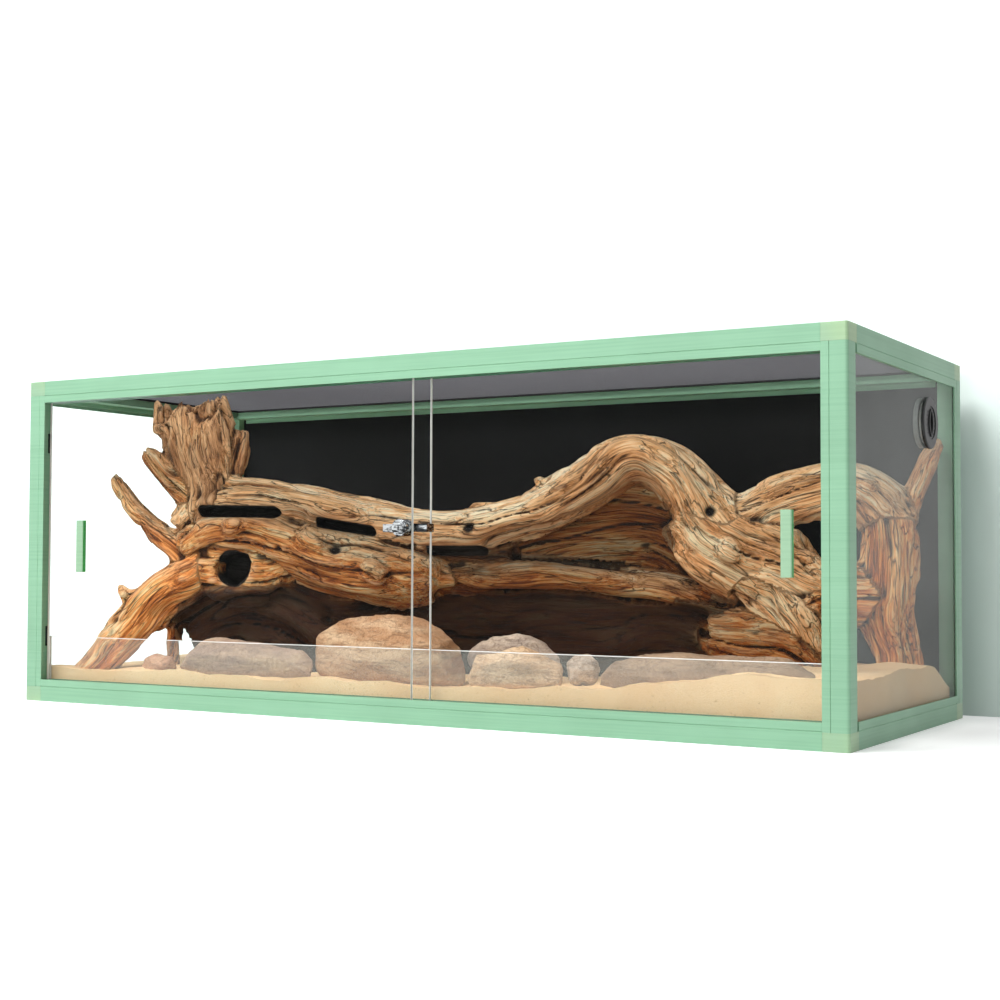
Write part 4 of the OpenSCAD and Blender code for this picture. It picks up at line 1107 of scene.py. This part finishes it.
def woodVary(at):
    grain = attribute(at, "grain")
    hollow, grey, dark = parts(attribute(at, "look"))
    up, deep, pale = parts(attribute(at, "place"))
    broad = noise(stretched(grain, 6.0, 38.0, 38.0), 1.0, 3.0, 0.55, 0.5)
    streaks = noise(stretched(grain, 8.0, 320.0, 320.0), 1.0, 4.0, 0.66, 0.4)
    fibres = noise(stretched(grain, 60.0, 1100.0, 1100.0), 1.0, 3.0, 0.65)
    stains = noise(at, 16.0, 4.0, 0.6)
    splits = ridged(noise(stretched(grain, 5.5, 75.0, 75.0), 1.0, 2.0, 0.5, 0.5), 0.018)
    cracks = ridged(noise(stretched(grain, 11.0, 190.0, 190.0), 1.0, 2.0, 0.55, 0.4), 0.03)
    tone = broad * 0.5 + streaks * 0.5
    colour = ramp(tone,
                  (0.35, tint(84, 40, 14)), (0.42, tint(172, 92, 36)), (0.48, tint(228, 140, 68)),
                  (0.54, tint(250, 186, 114)), (0.61, tint(255, 228, 174)))
    # a paler ramp, used for the pale limbs and for painted light on faces turned up
    paleAndToplit = ramp(tone, (0.35, tint(140, 88, 50)), (0.42, tint(230, 174, 114)), (0.49, tint(254, 214, 162)),
                    (0.58, tint(255, 240, 206)))
    weathered = ramp(tone, (0.36, tint(70, 44, 26)), (0.43, tint(144, 98, 62)), (0.51, tint(198, 144, 98)),
                     (0.61, tint(236, 188, 140)))
    # painted light: faces turned up take the paler ramp, broken up by the stains noise
    colour = blend(between(up + (stains - 0.5) * 1.6, 0.0, 1.0, 0.0, 0.85), colour, paleAndToplit)
    colour = blend(pale, colour, paleAndToplit)
    colour = blend(between(grey + (stains - 0.5) * 0.7, 0.1, 0.7), colour, weathered)
    # painted shade: faces turned down are darkened
    colour = blend(between(up, -0.2, -0.95, 0.0, 0.6), colour, tint(132, 92, 66), "MULTIPLY")
    # raised points turn paler, and recesses are darkened with painted shade
    colour = blend(between(hollow, -0.3, -1.8, 0.0, 0.6), colour, tint(240, 196, 148))
    colour = blend(between(hollow, 0.1, 1.7, 0.0, 0.92), colour, tint(38, 20, 10))
    # painted shade: limbs marked deep are darkened
    colour = blend(deep * 0.97, colour, tint(42, 27, 19), "MULTIPLY")
    colour = blend(cracks * 0.5, colour, tint(70, 40, 22))
    colour = blend(splits * 0.8, colour, tint(34, 20, 12))
    # painted shade in the pits and slits
    colour = blend(between(dark, 0.2, 0.7), colour, tint(20, 13, 9))
    return {
        "Base Color": colour,
        "Roughness": between(streaks, 0.3, 0.7, 0.6, 0.85),
        "Normal": bump(streaks * 0.8 + fibres * 0.35 - splits * 0.6 - cracks * 0.3, 0.003, 1.0),
    }


woodMaterial = makeMaterial("driftwood", {"Specular IOR Level": 0.3}, woodVary)
buildWood()
print("driftwood grown")


# ---- net of the lift-out screen
netPlan = {"pitch": 2.0, "wire": 0.38}


def buildNet(plan):
    # two layers of straight wires, each a thin square bar from edge to edge
    low, high = [np.array(corner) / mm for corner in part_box("screen_net")]
    half = plan["wire"] / 2
    middle = (low + high) / 2
    span = (high - low)[:2]

    def bars(axis, z):
        across = 1 - axis
        count = int(span[across] // plan["pitch"])
        at = middle[across] + (np.arange(count) - (count - 1) / 2) * plan["pitch"]
        corners = np.zeros((count, 8, 3))
        corners[:, :, axis] = np.where(np.arange(8) // 4, high[axis], low[axis])
        corners[:, :, across] = at[:, None] + np.array([-half, half, half, -half] * 2)
        corners[:, :, 2] = z + np.array([-half, -half, half, half] * 2)
        faces = np.array([[0, 1, 2, 3], [7, 6, 5, 4], [0, 4, 5, 1], [1, 5, 6, 2], [2, 6, 7, 3], [3, 7, 4, 0]])
        if axis == 0:
            faces = faces[:, ::-1]
        return corners.reshape(-1, 3), (faces[None] + np.arange(count)[:, None, None] * 8).reshape(-1, 4)

    first, firstFaces = bars(0, middle[2] - half * 0.8)
    second, secondFaces = bars(1, middle[2] + half * 0.8)
    mesh = addMesh("net", np.concatenate([first, second]), np.concatenate([firstFaces, secondFaces + len(first)]))
    work = bmesh.new()
    work.from_mesh(mesh)
    bmesh.ops.recalc_face_normals(work, faces=work.faces)
    work.to_mesh(mesh)
    work.free()
    return addPiece("net", mesh, "screen_group", "screen_net", [netMaterial])


def netVary(at):
    fine = noise(at, 400.0, 2.0)
    return {
        "Base Color": blend(between(fine, 0.3, 0.7), tint(88, 88, 93), tint(112, 111, 117)),
        "Roughness": between(fine, 0.3, 0.7, 0.5, 0.65),
    }


netMaterial = makeMaterial("netWire", {"Metallic": 0.0}, netVary)
buildNet(netPlan)
print("net strung")

print("scene finished")
